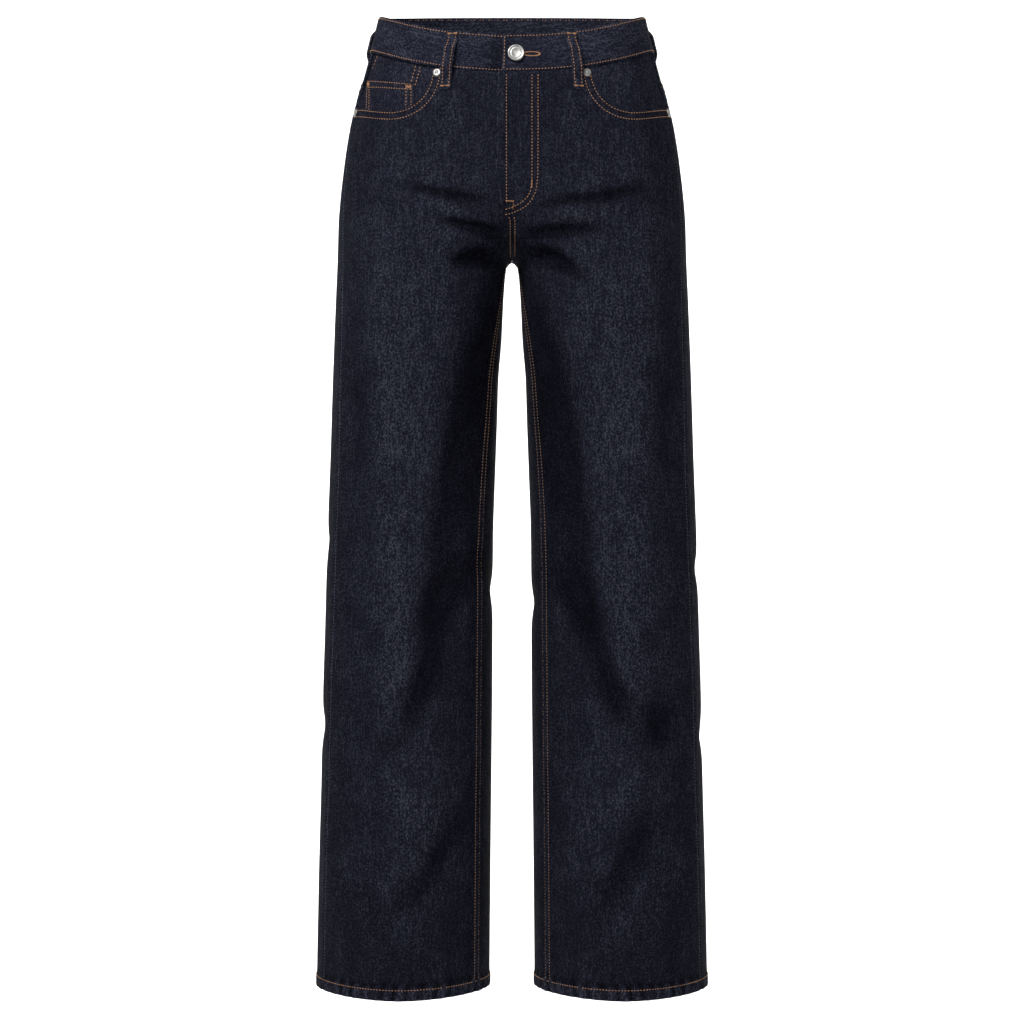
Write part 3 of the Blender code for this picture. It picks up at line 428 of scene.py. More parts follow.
# Small creases between the main folds, with the same columns as the folds
SMALL_CREASES = (
    (RIGHT, "front", 0.128, -0.192, 0.066, -0.203, 0.024, -0.213, 0.0050, -0.0056),
    (RIGHT, "front", 0.116, -0.206, 0.070, -0.214, 0.034, -0.222, 0.0060, 0.0016),
    (RIGHT, "front", 0.086, -0.231, 0.046, -0.235, 0.009, -0.247, 0.0055, -0.0048),
    (RIGHT, "front", 0.080, -0.243, 0.050, -0.249, 0.020, -0.256, 0.0050, 0.0014),
    (RIGHT, "front", 0.064, -0.284, 0.044, -0.262, 0.004, -0.265, 0.0060, -0.0040),
    (RIGHT, "front", 0.134, -0.150, 0.100, -0.163, 0.060, -0.166, 0.0080, -0.0010),
    (RIGHT, "front", 0.016, -0.372, 0.062, -0.500, 0.101, -0.655, 0.0200, -0.0042),
    (RIGHT, "front", 0.014, -0.300, 0.022, -0.360, 0.036, -0.440, 0.0120, -0.0020),
    (RIGHT, "front", 0.116, -0.330, 0.128, -0.460, 0.126, -0.560, 0.0160, 0.0018),
    (RIGHT, "front", 0.165, -0.270, 0.158, -0.420, 0.165, -0.560, 0.0110, -0.0018),
    (RIGHT, "front", 0.095, -0.762, 0.128, -0.790, 0.150, -0.800, 0.0100, -0.0018),
    (RIGHT, "front", 0.130, -0.860, 0.110, -0.900, 0.100, -0.945, 0.0090, 0.0020),
    (RIGHT, "front", 0.160, -0.930, 0.150, -0.960, 0.140, -1.000, 0.0090, -0.0013),
    (LEFT, "front", 0.144, -0.196, 0.112, -0.200, 0.094, -0.211, 0.0070, -0.0056),
    (LEFT, "front", 0.104, -0.204, 0.070, -0.209, 0.030, -0.217, 0.0050, -0.0044),
    (LEFT, "front", 0.120, -0.222, 0.080, -0.225, 0.036, -0.230, 0.0060, 0.0015),
    (LEFT, "front", 0.102, -0.241, 0.056, -0.240, 0.008, -0.250, 0.0055, -0.0046),
    (LEFT, "front", 0.009, -0.262, 0.050, -0.264, 0.080, -0.303, 0.0060, -0.0036),
    (LEFT, "front", 0.128, -0.156, 0.100, -0.168, 0.066, -0.170, 0.0080, -0.0010),
    (LEFT, "front", 0.026, -0.380, 0.060, -0.500, 0.090, -0.630, 0.0180, -0.0038),
    (LEFT, "front", 0.020, -0.300, 0.030, -0.360, 0.040, -0.440, 0.0120, -0.0018),
    (LEFT, "front", 0.110, -0.330, 0.124, -0.460, 0.120, -0.560, 0.0160, 0.0018),
    (LEFT, "front", 0.168, -0.280, 0.160, -0.430, 0.168, -0.590, 0.0110, -0.0018),
    (LEFT, "front", 0.080, -0.880, 0.106, -0.870, 0.120, -0.830, 0.0100, 0.0018),
    (LEFT, "front", 0.078, -0.925, 0.088, -0.950, 0.112, -0.925, 0.0080, -0.0016),
    (RIGHT, "back", 0.018, -0.262, 0.070, -0.282, 0.120, -0.272, 0.0070, -0.0024),
    (RIGHT, "back", 0.030, -0.316, 0.080, -0.336, 0.128, -0.318, 0.0080, 0.0016),
    (RIGHT, "back", 0.140, -0.300, 0.120, -0.420, 0.126, -0.540, 0.0160, 0.0016),
    (RIGHT, "back", 0.040, -0.520, 0.080, -0.545, 0.120, -0.536, 0.0070, -0.0018),
    (RIGHT, "back", 0.070, -0.600, 0.104, -0.612, 0.146, -0.606, 0.0070, 0.0018),
    (RIGHT, "back", 0.090, -0.680, 0.120, -0.694, 0.158, -0.690, 0.0080, -0.0018),
    (RIGHT, "back", 0.064, -0.830, 0.100, -0.842, 0.130, -0.820, 0.0100, -0.0015),
    (LEFT, "back", 0.018, -0.266, 0.066, -0.288, 0.116, -0.280, 0.0070, -0.0022),
    (LEFT, "back", 0.034, -0.322, 0.084, -0.338, 0.126, -0.326, 0.0080, 0.0016),
    (LEFT, "back", 0.136, -0.310, 0.118, -0.430, 0.124, -0.550, 0.0160, 0.0016),
    (LEFT, "back", 0.044, -0.534, 0.084, -0.552, 0.130, -0.548, 0.0070, -0.0018),
    (LEFT, "back", 0.064, -0.618, 0.100, -0.626, 0.142, -0.620, 0.0070, 0.0018),
    (LEFT, "back", 0.084, -0.700, 0.116, -0.712, 0.150, -0.706, 0.0080, -0.0016),
    (LEFT, "back", 0.060, -0.815, 0.092, -0.832, 0.134, -0.830, 0.0100, -0.0015),
)

# Cloth rolls down at an edge: how far, and over what width
PANEL_ROLL = (0.0007, 0.0016)
BAND_ROLL = (0.0010, 0.0022)
COIN_ROLL = (0.0005, 0.0014)
PATCH_ROLL = (0.0008, 0.0018)
PANEL_EDGES = ("from_start", "from_end", "from_top")
ALL_EDGES = ("from_start", "from_end", "from_top", "from_foot")

# Lines across the small pieces: first, last and count of the even ones between the edges
COARSE_COLUMNS = 25
YOKE_DEPTH = 0.06
YOKE_EVEN = (0.12, 0.80, 9)
BAND_END_LINES = (0.0, 0.0006, 0.0014, 0.0026)
BAND_EVEN = (0.006, 0.994, 300)
BAND_ROWS = (0.22, 0.78, 8)
COIN_SPAN = 0.043
COIN_EVEN = (0.2, 0.8, 14)
POCKET_EVEN = (0.05, 0.95, 37)
LOOP_EVEN = (0.34, 0.66, 5)
LOOP_ROWS = 61
FACING_COLUMNS, FACING_ROWS = 49, 25
ARC_STEPS = 60
SEAM_STEPS = 200
CROTCH_CLEAR = 1e-5
CLOTH_SHARP = math.radians(60)

# How strongly each seam is raised, and where the raising and its puckers fade
SIDE_FELL = 0.35
SIDE_PUCKER_SHIFT = 0.004
YOKE_SEAM_FELL = 0.5
CENTRE_FELL = {LEFT: 1.0, RIGHT: 0.3}
INSEAM_FELL_FADE = (CROTCH_HEIGHT + 0.002, CROTCH_HEIGHT - 0.02)
CENTRE_FELL_FADE = (CROTCH_HEIGHT - 0.02, CROTCH_HEIGHT + 0.01)
FELL_EDGE = (FELL_WIDTH + 0.0015, FELL_WIDTH - 0.0005)
FELL_PUCKER_FADE = (2.2 * FELL_WIDTH, 0.4 * FELL_WIDTH)
FLY_LAP_FADE = 0.012
FACING_EASE = (COIN_OUTER + 0.008, COIN_OUTER + 0.001)

# Unevenness of the puckers: how far their waves sway, and how many sways there are
FELL_SWAY = (1.7, 41.0)
BAND_SWAY = (1.3, 29.0)
HEM_SWAY = (1.6, 47.0)
HEM_SLANT = 0.3
HEM_UNEVEN_BASE = 0.65
HEM_UNEVEN_SHARE = 0.35
HEM_UNEVEN_RATE = 113.0
HEM_PUCKER_FADE = (HEM_DEPTH + 0.007, HEM_DEPTH - 0.003)
HEM_STEP = 0.001
HEM_WALL_EASE = 0.002
# Where the painted shadow above the hem's stitches sits, and how wide it is
HEM_SHADE_UP = 0.003
HEM_SHADE_WIDTH = 0.0025
BAND_PUCKER_FADE = (0.012, 0.003)
BAND_SEW_DIP = 0.0003
BAND_SEW_DIP_WIDTH = 0.0010
POCKET_FELL = 0.6
POCKET_FELL_EDGE = (0.0115, 0.0085)
POCKET_MOUTH_EDGE = (0.018, 0.016)
POCKET_PUCKER_SHARE = 0.5
POCKET_PUCKER_RATE = 700.0
POCKET_PUCKER_FADE = (0.014, 0.004)
LOOP_CROWN = 0.0003
THIN_SHARE = 0.9

# Abrasion and painted shade: how much a raised seam counts, the pale line at an edge (abrasion and a painted
# highlight), and the patches' own lift
WEAR_AND_SHADE_BY_LIFT = 0.8
EDGE_PALE_RIM_REACH = (0.0016, 0.0008)
COIN_WEAR_AND_SHADE_LIFT = 0.0003
POCKET_WEAR_AND_SHADE_LIFT = 0.0004
LOOP_WEAR_AND_SHADE_LIFT = 0.0006

# How many points each line of stitches is measured at, and where the lines start and end
LINE_POINTS = {"fly_edge": 80, "fly_curve": 200, "crotch": 60, "scoop": 200, "seam": 400, "hem": 500,
               "band": 900, "band_end": 20, "coin": 60, "facing": 30, "yoke": 220, "centre_back": 300,
               "pocket_edge": 80, "pocket_mouth": 100, "loop": 80}
CROTCH_SEW_END = CROTCH_HEIGHT + 0.001
INSEAM_SEW_TOP = CROTCH_HEIGHT - 0.004
BACK_SEW_TOP_GAP = 0.001
BACK_SEW_END = CROTCH_HEIGHT + 0.004
SCOOP_SEW_END_IN = 0.004
SCOOP_SEW_SPREAD = 1.6
SCOOP_SEW_TOP_GAP = 0.002
SCOOP_SEW_SIDE_GAP = 0.003
SCOOP_SEW_LIFT = 0.0002
COIN_TOP_SPAN = (0.03, 0.97)
COIN_SIDE_SEW_END = 0.90
COIN_TACK_STITCHES = 6
POCKET_SEW_START = 0.01
POCKET_MOUTH_SPAN = (0.02, 0.98)
LOOP_SEW_SPAN = (0.03, 0.97)

# Metal profiles. Each of the cap's rings is a share of its radius, and 1 on the fine ring.
CAP_RINGS = ((0.0, 0), (0.45, 0), (0.52, 1), (0.58, 1), (0.64, 0))
CAP_RIM_IN = 2.2
CAP_RIM_STEPS = 7
CAP_RIM_START = 0.62
CAP_RIM_TURN = 0.187
BUTTON_RIM = 0.0011
BUTTON_TALL = 0.0042
BUTTON_DISH = 0.0006
BUTTON_RING = 0.0002
SHANK_RADIUS = 0.0035
SHANK_TALL = 0.0020
# The rivet's profile: radius, and level above the cloth
RIVET_PROFILE = (
    (0.0, 0.0017), (0.0013, 0.0017), (0.0018, 0.0013), (0.0020, 0.0010), (0.0032, 0.0011),
    (0.0040, 0.0009), (0.0044, 0.0006), (RIVET_RADIUS, 0.0003), (RIVET_RADIUS, 0.0), (0.0, 0.0),
)
METAL_MERGE = 0.000002
METAL_SHARP = math.radians(40)

# The denim's noises: grain size across and along the warp in metres, detail, the range of
# the noise that shows as pale thread, and how much of the paleness it makes
WEAVE_COLUMNS = ("name", "across", "along", "detail", "low", "high", "share")
WEAVE = (
    ("flecks", 0.0017, 0.0022, 2.0, 0.45, 0.70, 0.62),
    ("slubs", 0.0019, 0.0180, 2.0, 0.47, 0.72, 0.26),
    ("weft", 0.0009, 0.0009, 2.0, 0.45, 0.75, 0.24),
)
CLOUD_GRAIN = (0.0300, 0.0550, 4.0)
CLOUD_RANGE = (0.3, 0.7)
CLOUD_SHARES = (0.65, 1.35)
NOISE_ROUGHNESS = 0.55
# How the per-point abrasion and painted shade value scales the pale flecks: fewer where it is low, as painted
# shade, and more where it is high, from abrasion
WEAR_AND_SHADE_RANGE = (0.0, 1.0)
WEAR_AND_SHADE_SHARES = (0.30, 1.55)
# Painted shade in the bottoms of the creases: where the value is low, the indigo mixes towards a darker copy
# of itself
CREASE_SHADE_RANGE = (0.05, 0.45)
CREASE_PAINTED_SHADE = 0.42
TWILL_WAVE = {"Distortion": 1.2, "Detail": 2.0, "Detail Scale": 1.5}
TWILL_HEIGHT = 0.45
FLECK_HEIGHT = 0.9
WEAVE_BUMP = (0.55, 0.0004)
DENIM_ROUGHNESS = (0.96, 0.80)
DENIM_SPECULAR = 0.03
MIDDLE_RANGE = (0.3, 0.7)
# Brightness of each piece's copy of the denim: lit and shaded copies of one cloth, as painted light
CLOTH_PAINTED_LIGHT = {"front": 1.0, "back": 0.97, "band": 1.36, "pocket": 1.16, "loop": 1.30}

# Thread, metal and studio paper: sizes of their noises, and what each one changes
THREAD_DETAIL = 2.0
FIBRE_SCALE = 1400.0
PATCH_SCALE = 60.0
FIBRE_SHARE = 0.7
PATCH_SHARE = 0.5
PLY_RANGE = (0.3, 0.9)
PLY_DARK = 0.55
PLY_LIGHT = 1.35
THREAD_BUMP = (0.5, 0.0002)
THREAD_ROUGHNESS = (0.75, 0.55)
THREAD_SHEEN = 0.15
METAL_DETAIL = 3.0
CAST_SCALE = 1800.0
TARNISH_SCALE = 260.0
TARNISH_RANGE = (0.35, 0.7)
TARNISHED = (0.34, 0.33, 0.32, 1.0)
SILVER = (0.56, 0.55, 0.53, 1.0)
SILVER_ROUGHNESS = (0.34, 0.50)
SILVER_BUMP = (0.12, 0.0002)
SILVER_METALLIC = 0.85
PAPER_SCALE = 40.0
PAPER_DETAIL = 4.0
PAPER_DARK = (0.92, 0.92, 0.92, 1.0)
PAPER_LIGHT = (0.95, 0.95, 0.95, 1.0)
PAPER_ROUGHNESS = 0.9
STAGE_STEPS = 12

FINISHES = {}


def smooth_step(low, high, value):
    """0 below low, 1 above high and a smooth rise between them."""
    share = np.clip((value - low) / (high - low), 0.0, 1.0)
    return share * share * (3.0 - 2.0 * share)


def read_table(table, columns, name, height):
    """A column of a table read at any height, on a smooth curve through its rows."""
    rows = sorted(table)
    heights = np.array([row[0] for row in rows])
    values = np.array([row[columns.index(name)] for row in rows])
    rises = np.diff(values) / np.diff(heights)
    slopes = np.zeros(len(values))
    slopes[0], slopes[-1] = rises[0], rises[-1]
    before, after = rises[:-1], rises[1:]
    same_way = before * after > 0.0
    slopes[1:-1][same_way] = (2.0 * before * after)[same_way] / (before + after)[same_way]
    height = np.clip(height, heights[0], heights[-1])
    row = np.clip(np.searchsorted(heights, height, side="right") - 1, 0, len(heights) - 2)
    span = heights[row + 1] - heights[row]
    share = (height - heights[row]) / span
    start = (1.0 + 2.0 * share) * (1.0 - share) ** 2 * values[row]
    end = share ** 2 * (3.0 - 2.0 * share) * values[row + 1]
    leave = share * (1.0 - share) ** 2 * span * slopes[row]
    arrive = share ** 2 * (share - 1.0) * span * slopes[row + 1]
    return start + end + leave + arrive


def section(name, height):
    return read_table(SECTIONS, SECTION_COLUMNS, name, height)


def inner_edge(height):
    """Inner edge of a half: past the middle plane in the body, short of it in the leg."""
    outer = section("outer", height)
    drop = np.clip((RISE_START - height) / (RISE_START - CROTCH_HEIGHT), 0.0, 1.0)
    share = drop ** RISE_POWER
    body = outer * (share - 1.0) / (share + 1.0)
    leg = read_table(INNER_EDGE, INNER_COLUMNS, "inner", height)
    return np.where(height > CROTCH_HEIGHT, body, leg)


def angle_at(out, height, face):
    """Angle round a half's section, 0 at its outside, at a distance out from the middle."""
    outer, inner = section("outer", height), inner_edge(height)
    share = np.clip((out - (outer + inner) / 2) / ((outer - inner) / 2), -1.0, 1.0)
    power = section(face + "_power", height)
    angle = np.arccos(np.sign(share) * np.abs(share) ** (power / 2))
    return -angle if face == "front" else angle


def back_angle_at_arc(arc, height):
    """Angle round the section at a length along the cloth, out from the centre back."""
    shares = np.linspace(0.0, 1.0, ARC_STEPS)
    angles = angle_at(0.0, height, "back")[:, None] * (1.0 - shares)
    points = half_point(LEFT, angles, np.repeat(height[:, None], len(shares), axis=1))
    steps = np.linalg.norm(np.diff(points, axis=1), axis=2)
    lengths = np.concatenate((np.zeros((len(height), 1)), np.cumsum(steps, axis=1)), axis=1)
    return np.array([np.interp(*row) for row in zip(arc, lengths, angles)])


def half_point(side, angle, height):
    """Point of a half's section. Past the middle plane it goes on as the other half does."""
    outer, inner = section("outer", height), inner_edge(height)
    front, back, middle = (section(name, height) for name in ("front", "back", "middle"))
    in_body = height > CROTCH_HEIGHT
    first, last = angle_at(0.0, height, "front"), angle_at(0.0, height, "back")
    crossed = in_body & ((angle < first) | (angle > last))
    inside = np.where(angle < first, 2 * first - angle, np.where(angle > last, 2 * last - angle, angle))
    angle = np.where(crossed, inside, angle)
    on_front = np.sin(angle) < 0.0
    power = np.where(on_front, section("front_power", height), section("back_power", height))
    cosine, sine = np.cos(angle), np.abs(np.sin(angle))
    out = (outer + inner) / 2 + (outer - inner) / 2 * np.sign(cosine) * np.abs(cosine) ** (2 / power)
    depth = middle + np.where(on_front, front - middle, back - middle) * sine ** (2 / power)
    out = np.where(crossed, -out, out)
    return np.stack((side * out, depth, height), axis=-1)


def body_surface(side, angle, height):
    """Point and outward normal of the plain surface, with no folds."""
    turn, rise = 0.01, 0.001
    around = half_point(side, angle + turn, height) - half_point(side, angle - turn, height)
    along = half_point(side, angle, height + rise) - half_point(side, angle, height - rise)
    normal = side * np.cross(around, along)
    normal /= np.linalg.norm(normal, axis=-1, keepdims=True)
    return half_point(side, angle, height), normal


def fold_view(face, side, points, normals):
    """Across value of each point on a face, and how squarely it faces that way."""
    if face == "front":
        return side * points[:, 0], -normals[:, 1]
    if face == "back":
        return side * points[:, 0], normals[:, 1]
    outward = side * normals[:, 0]
    return points[:, 1], outward if face == "outer" else -outward


def fold_rise(side, points, normals, folds=FOLDS):
    """How far the folds press each point in or out."""
    total = np.zeros(len(points))
    for row in folds:
        fold = dict(zip(FOLD_COLUMNS, row))
        if fold["side"] != side:
            continue
        across, facing = fold_view(fold["face"], side, points, normals)
        places = np.stack((across, points[:, 2]), axis=-1)
        start, bend, end = (np.array((fold[key + "_across"], fold[key + "_height"]))
                            for key in ("start", "bend", "end"))
        nearest = np.full(len(points), 1.0)
        travel = np.zeros(len(points))
        last = start
        for step in range(1, FOLD_STEPS + 1):
            share = step / FOLD_STEPS
            here = (1 - share) ** 2 * start + 2 * share * (1 - share) * bend + share ** 2 * end
            run = here - last
            along = np.clip((places - last) @ run / (run @ run), 0.0, 1.0)
            distance = np.linalg.norm(places - last - along[:, None] * run, axis=1)
            closer = distance < nearest
            travel = np.where(closer, (step - 1 + along) / FOLD_STEPS, travel)
            nearest = np.minimum(nearest, distance)
            last = here
        taper = np.sin(math.pi * (FOLD_END_DEPTH + (1.0 - 2.0 * FOLD_END_DEPTH) * travel))
        bell = np.exp(-((nearest / fold["width"]) ** 2))
        total += fold["rise"] * taper * bell * smooth_step(*FOLD_FACING, facing)
    near_middle = smooth_step(0.0, CROTCH_FADE_WIDTH, np.abs(points[:, 0]))
    return total * np.where(points[:, 2] < CROTCH_FADE_TOP, near_middle, 1.0)


def surface(side, angle, height):
    """Points and normals of the plain surface, and how far the folds press each one out."""
    points, normals = np.zeros((len(height), 3)), np.zeros((len(height), 3))
    rise = np.zeros(len(height))
    for half in (LEFT, RIGHT):
        here = side == half
        if here.any():
            points[here], normals[here] = body_surface(half, angle[here], height[here])
            rise[here] = fold_rise(half, points[here], normals[here])
    return points, normals, rise


def front_share(side, angle):
    """How far to the front a place on the waist is, from 0 at the sides to 1 in the middle."""
    depth = half_point(side, angle, np.zeros_like(angle))[..., 1]
    return (np.maximum(-depth, 0.0) / WAIST_FRONT_DEPTH) ** WAIST_FRONT_POWER


def waist_top(side, angle):
    """Height of the waistband's top edge: it dips at the front and rises at the back."""
    depth = half_point(side, angle, np.zeros_like(angle))[..., 1]
    dip = WAIST_FRONT_DIP * front_share(side, angle)
    return WAIST_SIDE_HEIGHT - dip + WAIST_BACK_SLOPE * np.maximum(depth, 0.0)


def band_height(side, angle):
    """Height of the waistband itself, which is a little deeper at the front."""
    return BAND_DROP + BAND_FRONT_EXTRA * front_share(side, angle)


def waist_seam(side, angle):
    return waist_top(side, angle) - band_height(side, angle)


def side_seam_angle(height):
    inset = read_table(SEAM_PLACES, SEAM_COLUMNS, "side_inset", height)
    return angle_at(section("outer", height) - inset, height, "front")


def inseam_angle(height):
    inset = read_table(SEAM_PLACES, SEAM_COLUMNS, "inseam_inset", height)
    return angle_at(inner_edge(height) + inset, height, "front")


def fly_line(height):
    """Distance of the fly's edge from the middle plane: it fades out at the crotch."""
    return FLY_EDGE * smooth_step(FLY_FADE_END, FLY_FADE_TOP, height)


def front_inner_angle(side, height):
    """Inner edge of a front panel: the fly and centre seam, and then the inseam."""
    first = angle_at(0.0, height, "front")
    shift = angle_at(fly_line(height), height, "front") - first
    lap = max(side, 0) * CROTCH_LAP * smooth_step(*CROTCH_LAP_FADE, height)
    body = first - side * shift + SEAM_ANGLE - lap
    return np.where(height > CROTCH_HEIGHT, body, inseam_angle(height) + SEAM_ANGLE)


def back_inner_angle(height):
    """Inner edge of a back panel: the centre back seam, and then the inseam."""
    body = angle_at(0.0, height, "back") - SEAM_ANGLE
    return np.where(height > CROTCH_HEIGHT, body, 2 * math.pi + inseam_angle(height) - SEAM_ANGLE)


def scoop_height(out):
    """Height of the front pocket's scooped edge at a distance out from the middle plane."""
    share = np.clip((out - SCOOP_START) / SCOOP_WIDTH, 0.0, 1.0)
    start = waist_seam(LEFT, angle_at(SCOOP_START, SCOOP_START_HEIGHT, "front"))
    curve = (1 - (1 - share) ** SCOOP_POWER) ** (1 / SCOOP_POWER)
    low_out = SCOOP_START + SCOOP_WIDTH
    seam_out = section("outer", SCOOP_END) - SCOOP_END_IN
    lift = np.clip((out - low_out) / (seam_out - low_out), 0.0, 1.0) ** SCOOP_LIFT_POWER
    return start + (SCOOP_LOW - start) * curve + (SCOOP_END - SCOOP_LOW) * lift


def seam_heights(face, top, share):
    """Heights spaced evenly along the centre seam from top down to the crotch."""
    heights = np.linspace(top, CROTCH_HEIGHT + CROTCH_CLEAR, SEAM_STEPS)
    points = half_point(LEFT, angle_at(0.0, heights, face), heights)
    length = np.concatenate(([0.0], np.cumsum(np.linalg.norm(np.diff(points, axis=0), axis=1))))
    return np.interp(share * length[-1], length, heights)


def panel_heights(face, row, top_inner, top_side, extra_rows):
    """Heights of a panel's row at its inner edge and at the side seam."""
    rise_rows = RISE_ROWS + extra_rows
    in_rise = np.clip((row + extra_rows) / rise_rows, 0.0, 1.0)
    in_leg = np.clip((row - RISE_ROWS) / LEG_ROWS, 0.0, 1.0)
    inner_rise = seam_heights(face, top_inner, in_rise)
    inner = np.where(row < RISE_ROWS, inner_rise, CROTCH_HEIGHT + (HEM_HEIGHT - CROTCH_HEIGHT) * in_leg)
    side_rise = np.interp(row, (-extra_rows - 1e-9, 0, RISE_ROWS), (top_side, SCOOP_END, SIDE_RISE_END))
    side = np.where(row < RISE_ROWS, side_rise, SIDE_RISE_END + (HEM_HEIGHT - SIDE_RISE_END) * in_leg)
    return inner, side


def front_columns(across, row):
    """Share of the way out to the side seam: columns crowd at the pocket and even out below."""
    angles = angle_at(np.array(FRONT_COLUMN_PLACES), SCOOP_END, "front")
    shares = (angles - angles[0]) / (angles[-1] - angles[0])
    crowded = np.interp(across, np.linspace(0.0, 1.0, len(shares)), shares)
    return crowded + (across - crowded) * smooth_step(0.0, RISE_ROWS, row)


def front_place(side, across, down):
    """Angle and height of a point of a front panel."""
    row = down * (RISE_ROWS + LEG_ROWS)
    top_inner = float(waist_seam(side, np.array(-math.pi / 2))) - SEAM_GAP
    inner, outer = panel_heights("front", row, top_inner, SCOOP_END, 0)
    share = front_columns(across, row)
    height = inner + (outer - inner) * smooth_step(0.0, 1.0, share)
    # The top edge follows the waist seam and then the scoop, and the rows below ease into it.
    top_share = front_columns(across, np.zeros_like(row))
    first = front_inner_angle(side, np.full_like(row, SCOOP_END))
    top_angle = first + (side_seam_angle(SCOOP_END) - first) * top_share
    out = side * half_point(side, top_angle, np.full_like(row, SCOOP_END))[..., 0]
    on_scoop = out > SCOOP_START
    top = np.where(on_scoop, scoop_height(out), waist_seam(side, top_angle) - SEAM_GAP)
    plain_top = top_inner + (SCOOP_END - top_inner) * smooth_step(0.0, 1.0, top_share)
    ease = np.clip(1.0 - row / (SCOOP_ROWS * RISE_ROWS), 0.0, 1.0) ** 2
    height = height + (top - plain_top) * ease
    first, last = front_inner_angle(side, height), side_seam_angle(height) - SEAM_ANGLE
    return first + (last - first) * share, height


def back_place(side, across, down):
    """Angle and height of a point of a back panel."""
    row = down * (RISE_ROWS + LEG_ROWS + 1) - 1.0
    inner, outer = panel_heights("back", row, YOKE_BACK_HEIGHT - SEAM_GAP, YOKE_SIDE_HEIGHT - SEAM_GAP, 1)
    height = inner + (outer - inner) * smooth_step(0.0, 1.0, across)
    first, last = back_inner_angle(height), side_seam_angle(height) + SEAM_ANGLE
    return first + (last - first) * across, height


def yoke_bottom(across):
    """Height of the yoke's lower edge, which rises to a smooth side from the centre back."""
    return YOKE_BACK_HEIGHT + (YOKE_SIDE_HEIGHT - YOKE_BACK_HEIGHT) * smooth_step(0.0, 1.0, across)


def yoke_place(side, across, down):
    """Angle and height of a point of a yoke, which is deeper at the centre back."""
    bottom = yoke_bottom(across)
    first, last = back_inner_angle(bottom), side_seam_angle(bottom) + SEAM_ANGLE
    top = waist_seam(side, first + (last - first) * across) - SEAM_GAP
    height = top + (bottom - top) * down
    first, last = back_inner_angle(height), side_seam_angle(height) + SEAM_ANGLE
    return first + (last - first) * across, height


def band_bearing(travel):
    """Side of the body and angle on it, at a travel round the waist from the middle front."""
    bearing = (math.pi - travel) % (2 * math.pi) - math.pi
    return np.where(bearing >= 0.0, LEFT, RIGHT), np.abs(bearing) - math.pi / 2


def band_travel(across):
    """Travel round the waist: from the under end at the left front to the over end."""
    return -BAND_UNDER_END + (2 * math.pi + BAND_UNDER_END + BAND_OVER_END) * across


def band_lift(travel):
    """Lift of the band's outer face, which is lower where it runs under its own end."""
    under = 1.0 - smooth_step(BAND_STEP_START, BAND_STEP_END, travel)
    return BAND_PROUD - under * (BAND_WALL + LAYER_GAP)


def facing_place(side, across, down):
    """Angle and height of a point of a front pocket's facing."""
    top = waist_seam(side, np.full_like(across, FACING_MEASURE_ANGLE)) + FACING_TOP_UP
    height = top + (FACING_BOTTOM - top) * down
    first = angle_at(SCOOP_START - FACING_MARGIN, height, "front")
    angle = first + (side_seam_angle(height) + FACING_TUCK - first) * across
    height = height + (waist_seam(side, angle) - waist_seam(side, first)) * (1.0 - down)
    return angle, height


def coin_place(across, down):
    """Angle and height of a point of the coin pocket."""
    top = COIN_TOP_INNER + (COIN_TOP_OUTER - COIN_TOP_INNER) * across
    height = top + (COIN_BOTTOM - top) * down
    first, last = angle_at(COIN_INNER, height, "front"), angle_at(COIN_OUTER, height, "front")
    return first + (last - first) * across, height


def pocket_place(across, down):
    """Angle and height of a point of a back pocket, which has a pointed foot."""
    width = POCKET_TOP_WIDTH + (POCKET_FOOT_WIDTH - POCKET_TOP_WIDTH) * down
    arc = POCKET_MIDDLE + (across - 0.5) * width
    length = POCKET_MID_LENGTH - (POCKET_MID_LENGTH - POCKET_SIDE_LENGTH) * np.abs(2 * across - 1)
    height = POCKET_TOP + POCKET_TOP_SLOPE * (across - 0.5) * width - down * length
    measured = np.full_like(height, POCKET_MEASURE_HEIGHT)
    out = half_point(LEFT, back_angle_at_arc(arc, measured), measured)[:, 0]
    return angle_at(out, height, "back"), height


def loop_place(side, middle_angle, across, down):
    """Angle and height of a point of a belt loop."""
    middle = np.full_like(across, middle_angle)
    height = waist_top(side, middle) - LOOP_TOP_DOWN - down * LOOP_LENGTH
    turn = 0.05
    chord = half_point(side, middle + turn, height) - half_point(side, middle - turn, height)
    reach = np.linalg.norm(chord, axis=-1) / (2 * turn)
    return middle + (across - 0.5) * LOOP_WIDTH / reach, height


def loop_lift(down):
    """Lift of the back of a belt loop, which stands off between its tacked ends."""
    bow = smooth_step(LOOP_TACK, LOOP_BOW[0], down) * smooth_step(1.0 - LOOP_TACK, LOOP_BOW[1], down)
    seat = LAYER_GAP + BAND_PROUD * smooth_step(1.0, LOOP_FOOT, down)
    return seat + bow * (LOOP_CLEARANCE - LAYER_GAP)


def belt_loops():
    """Name, side and middle angle of each of the five loops."""
    front_angle = float(angle_at(FRONT_LOOP_OUT, LOOP_MEASURE_HEIGHT, "front"))
    side_angle = float(side_seam_angle(LOOP_MEASURE_HEIGHT)) + SIDE_LOOP_SHIFT
    loops = [("belt_loop_back", LEFT, math.pi / 2)]
    for side in (LEFT, RIGHT):
        loops.append(("belt_loop_front_" + SIDE_NAMES[side], side, front_angle))
        loops.append(("belt_loop_side_" + SIDE_NAMES[side], side, side_angle))
    return loops


def on_side(measure, side, angle):
    """A measure of the waist, read on the side of the body that each place is on."""
    return np.where(side == LEFT, measure(LEFT, angle), measure(RIGHT, angle))

def hem_wall(height):
    """Wall of a panel: the hem is folded inward, so the cloth is thicker there."""
    top = HEM_HEIGHT + HEM_DEPTH
    return CLOTH_WALL + (HEM_WALL - CLOTH_WALL) * smooth_step(top + HEM_WALL_EASE, top, height)


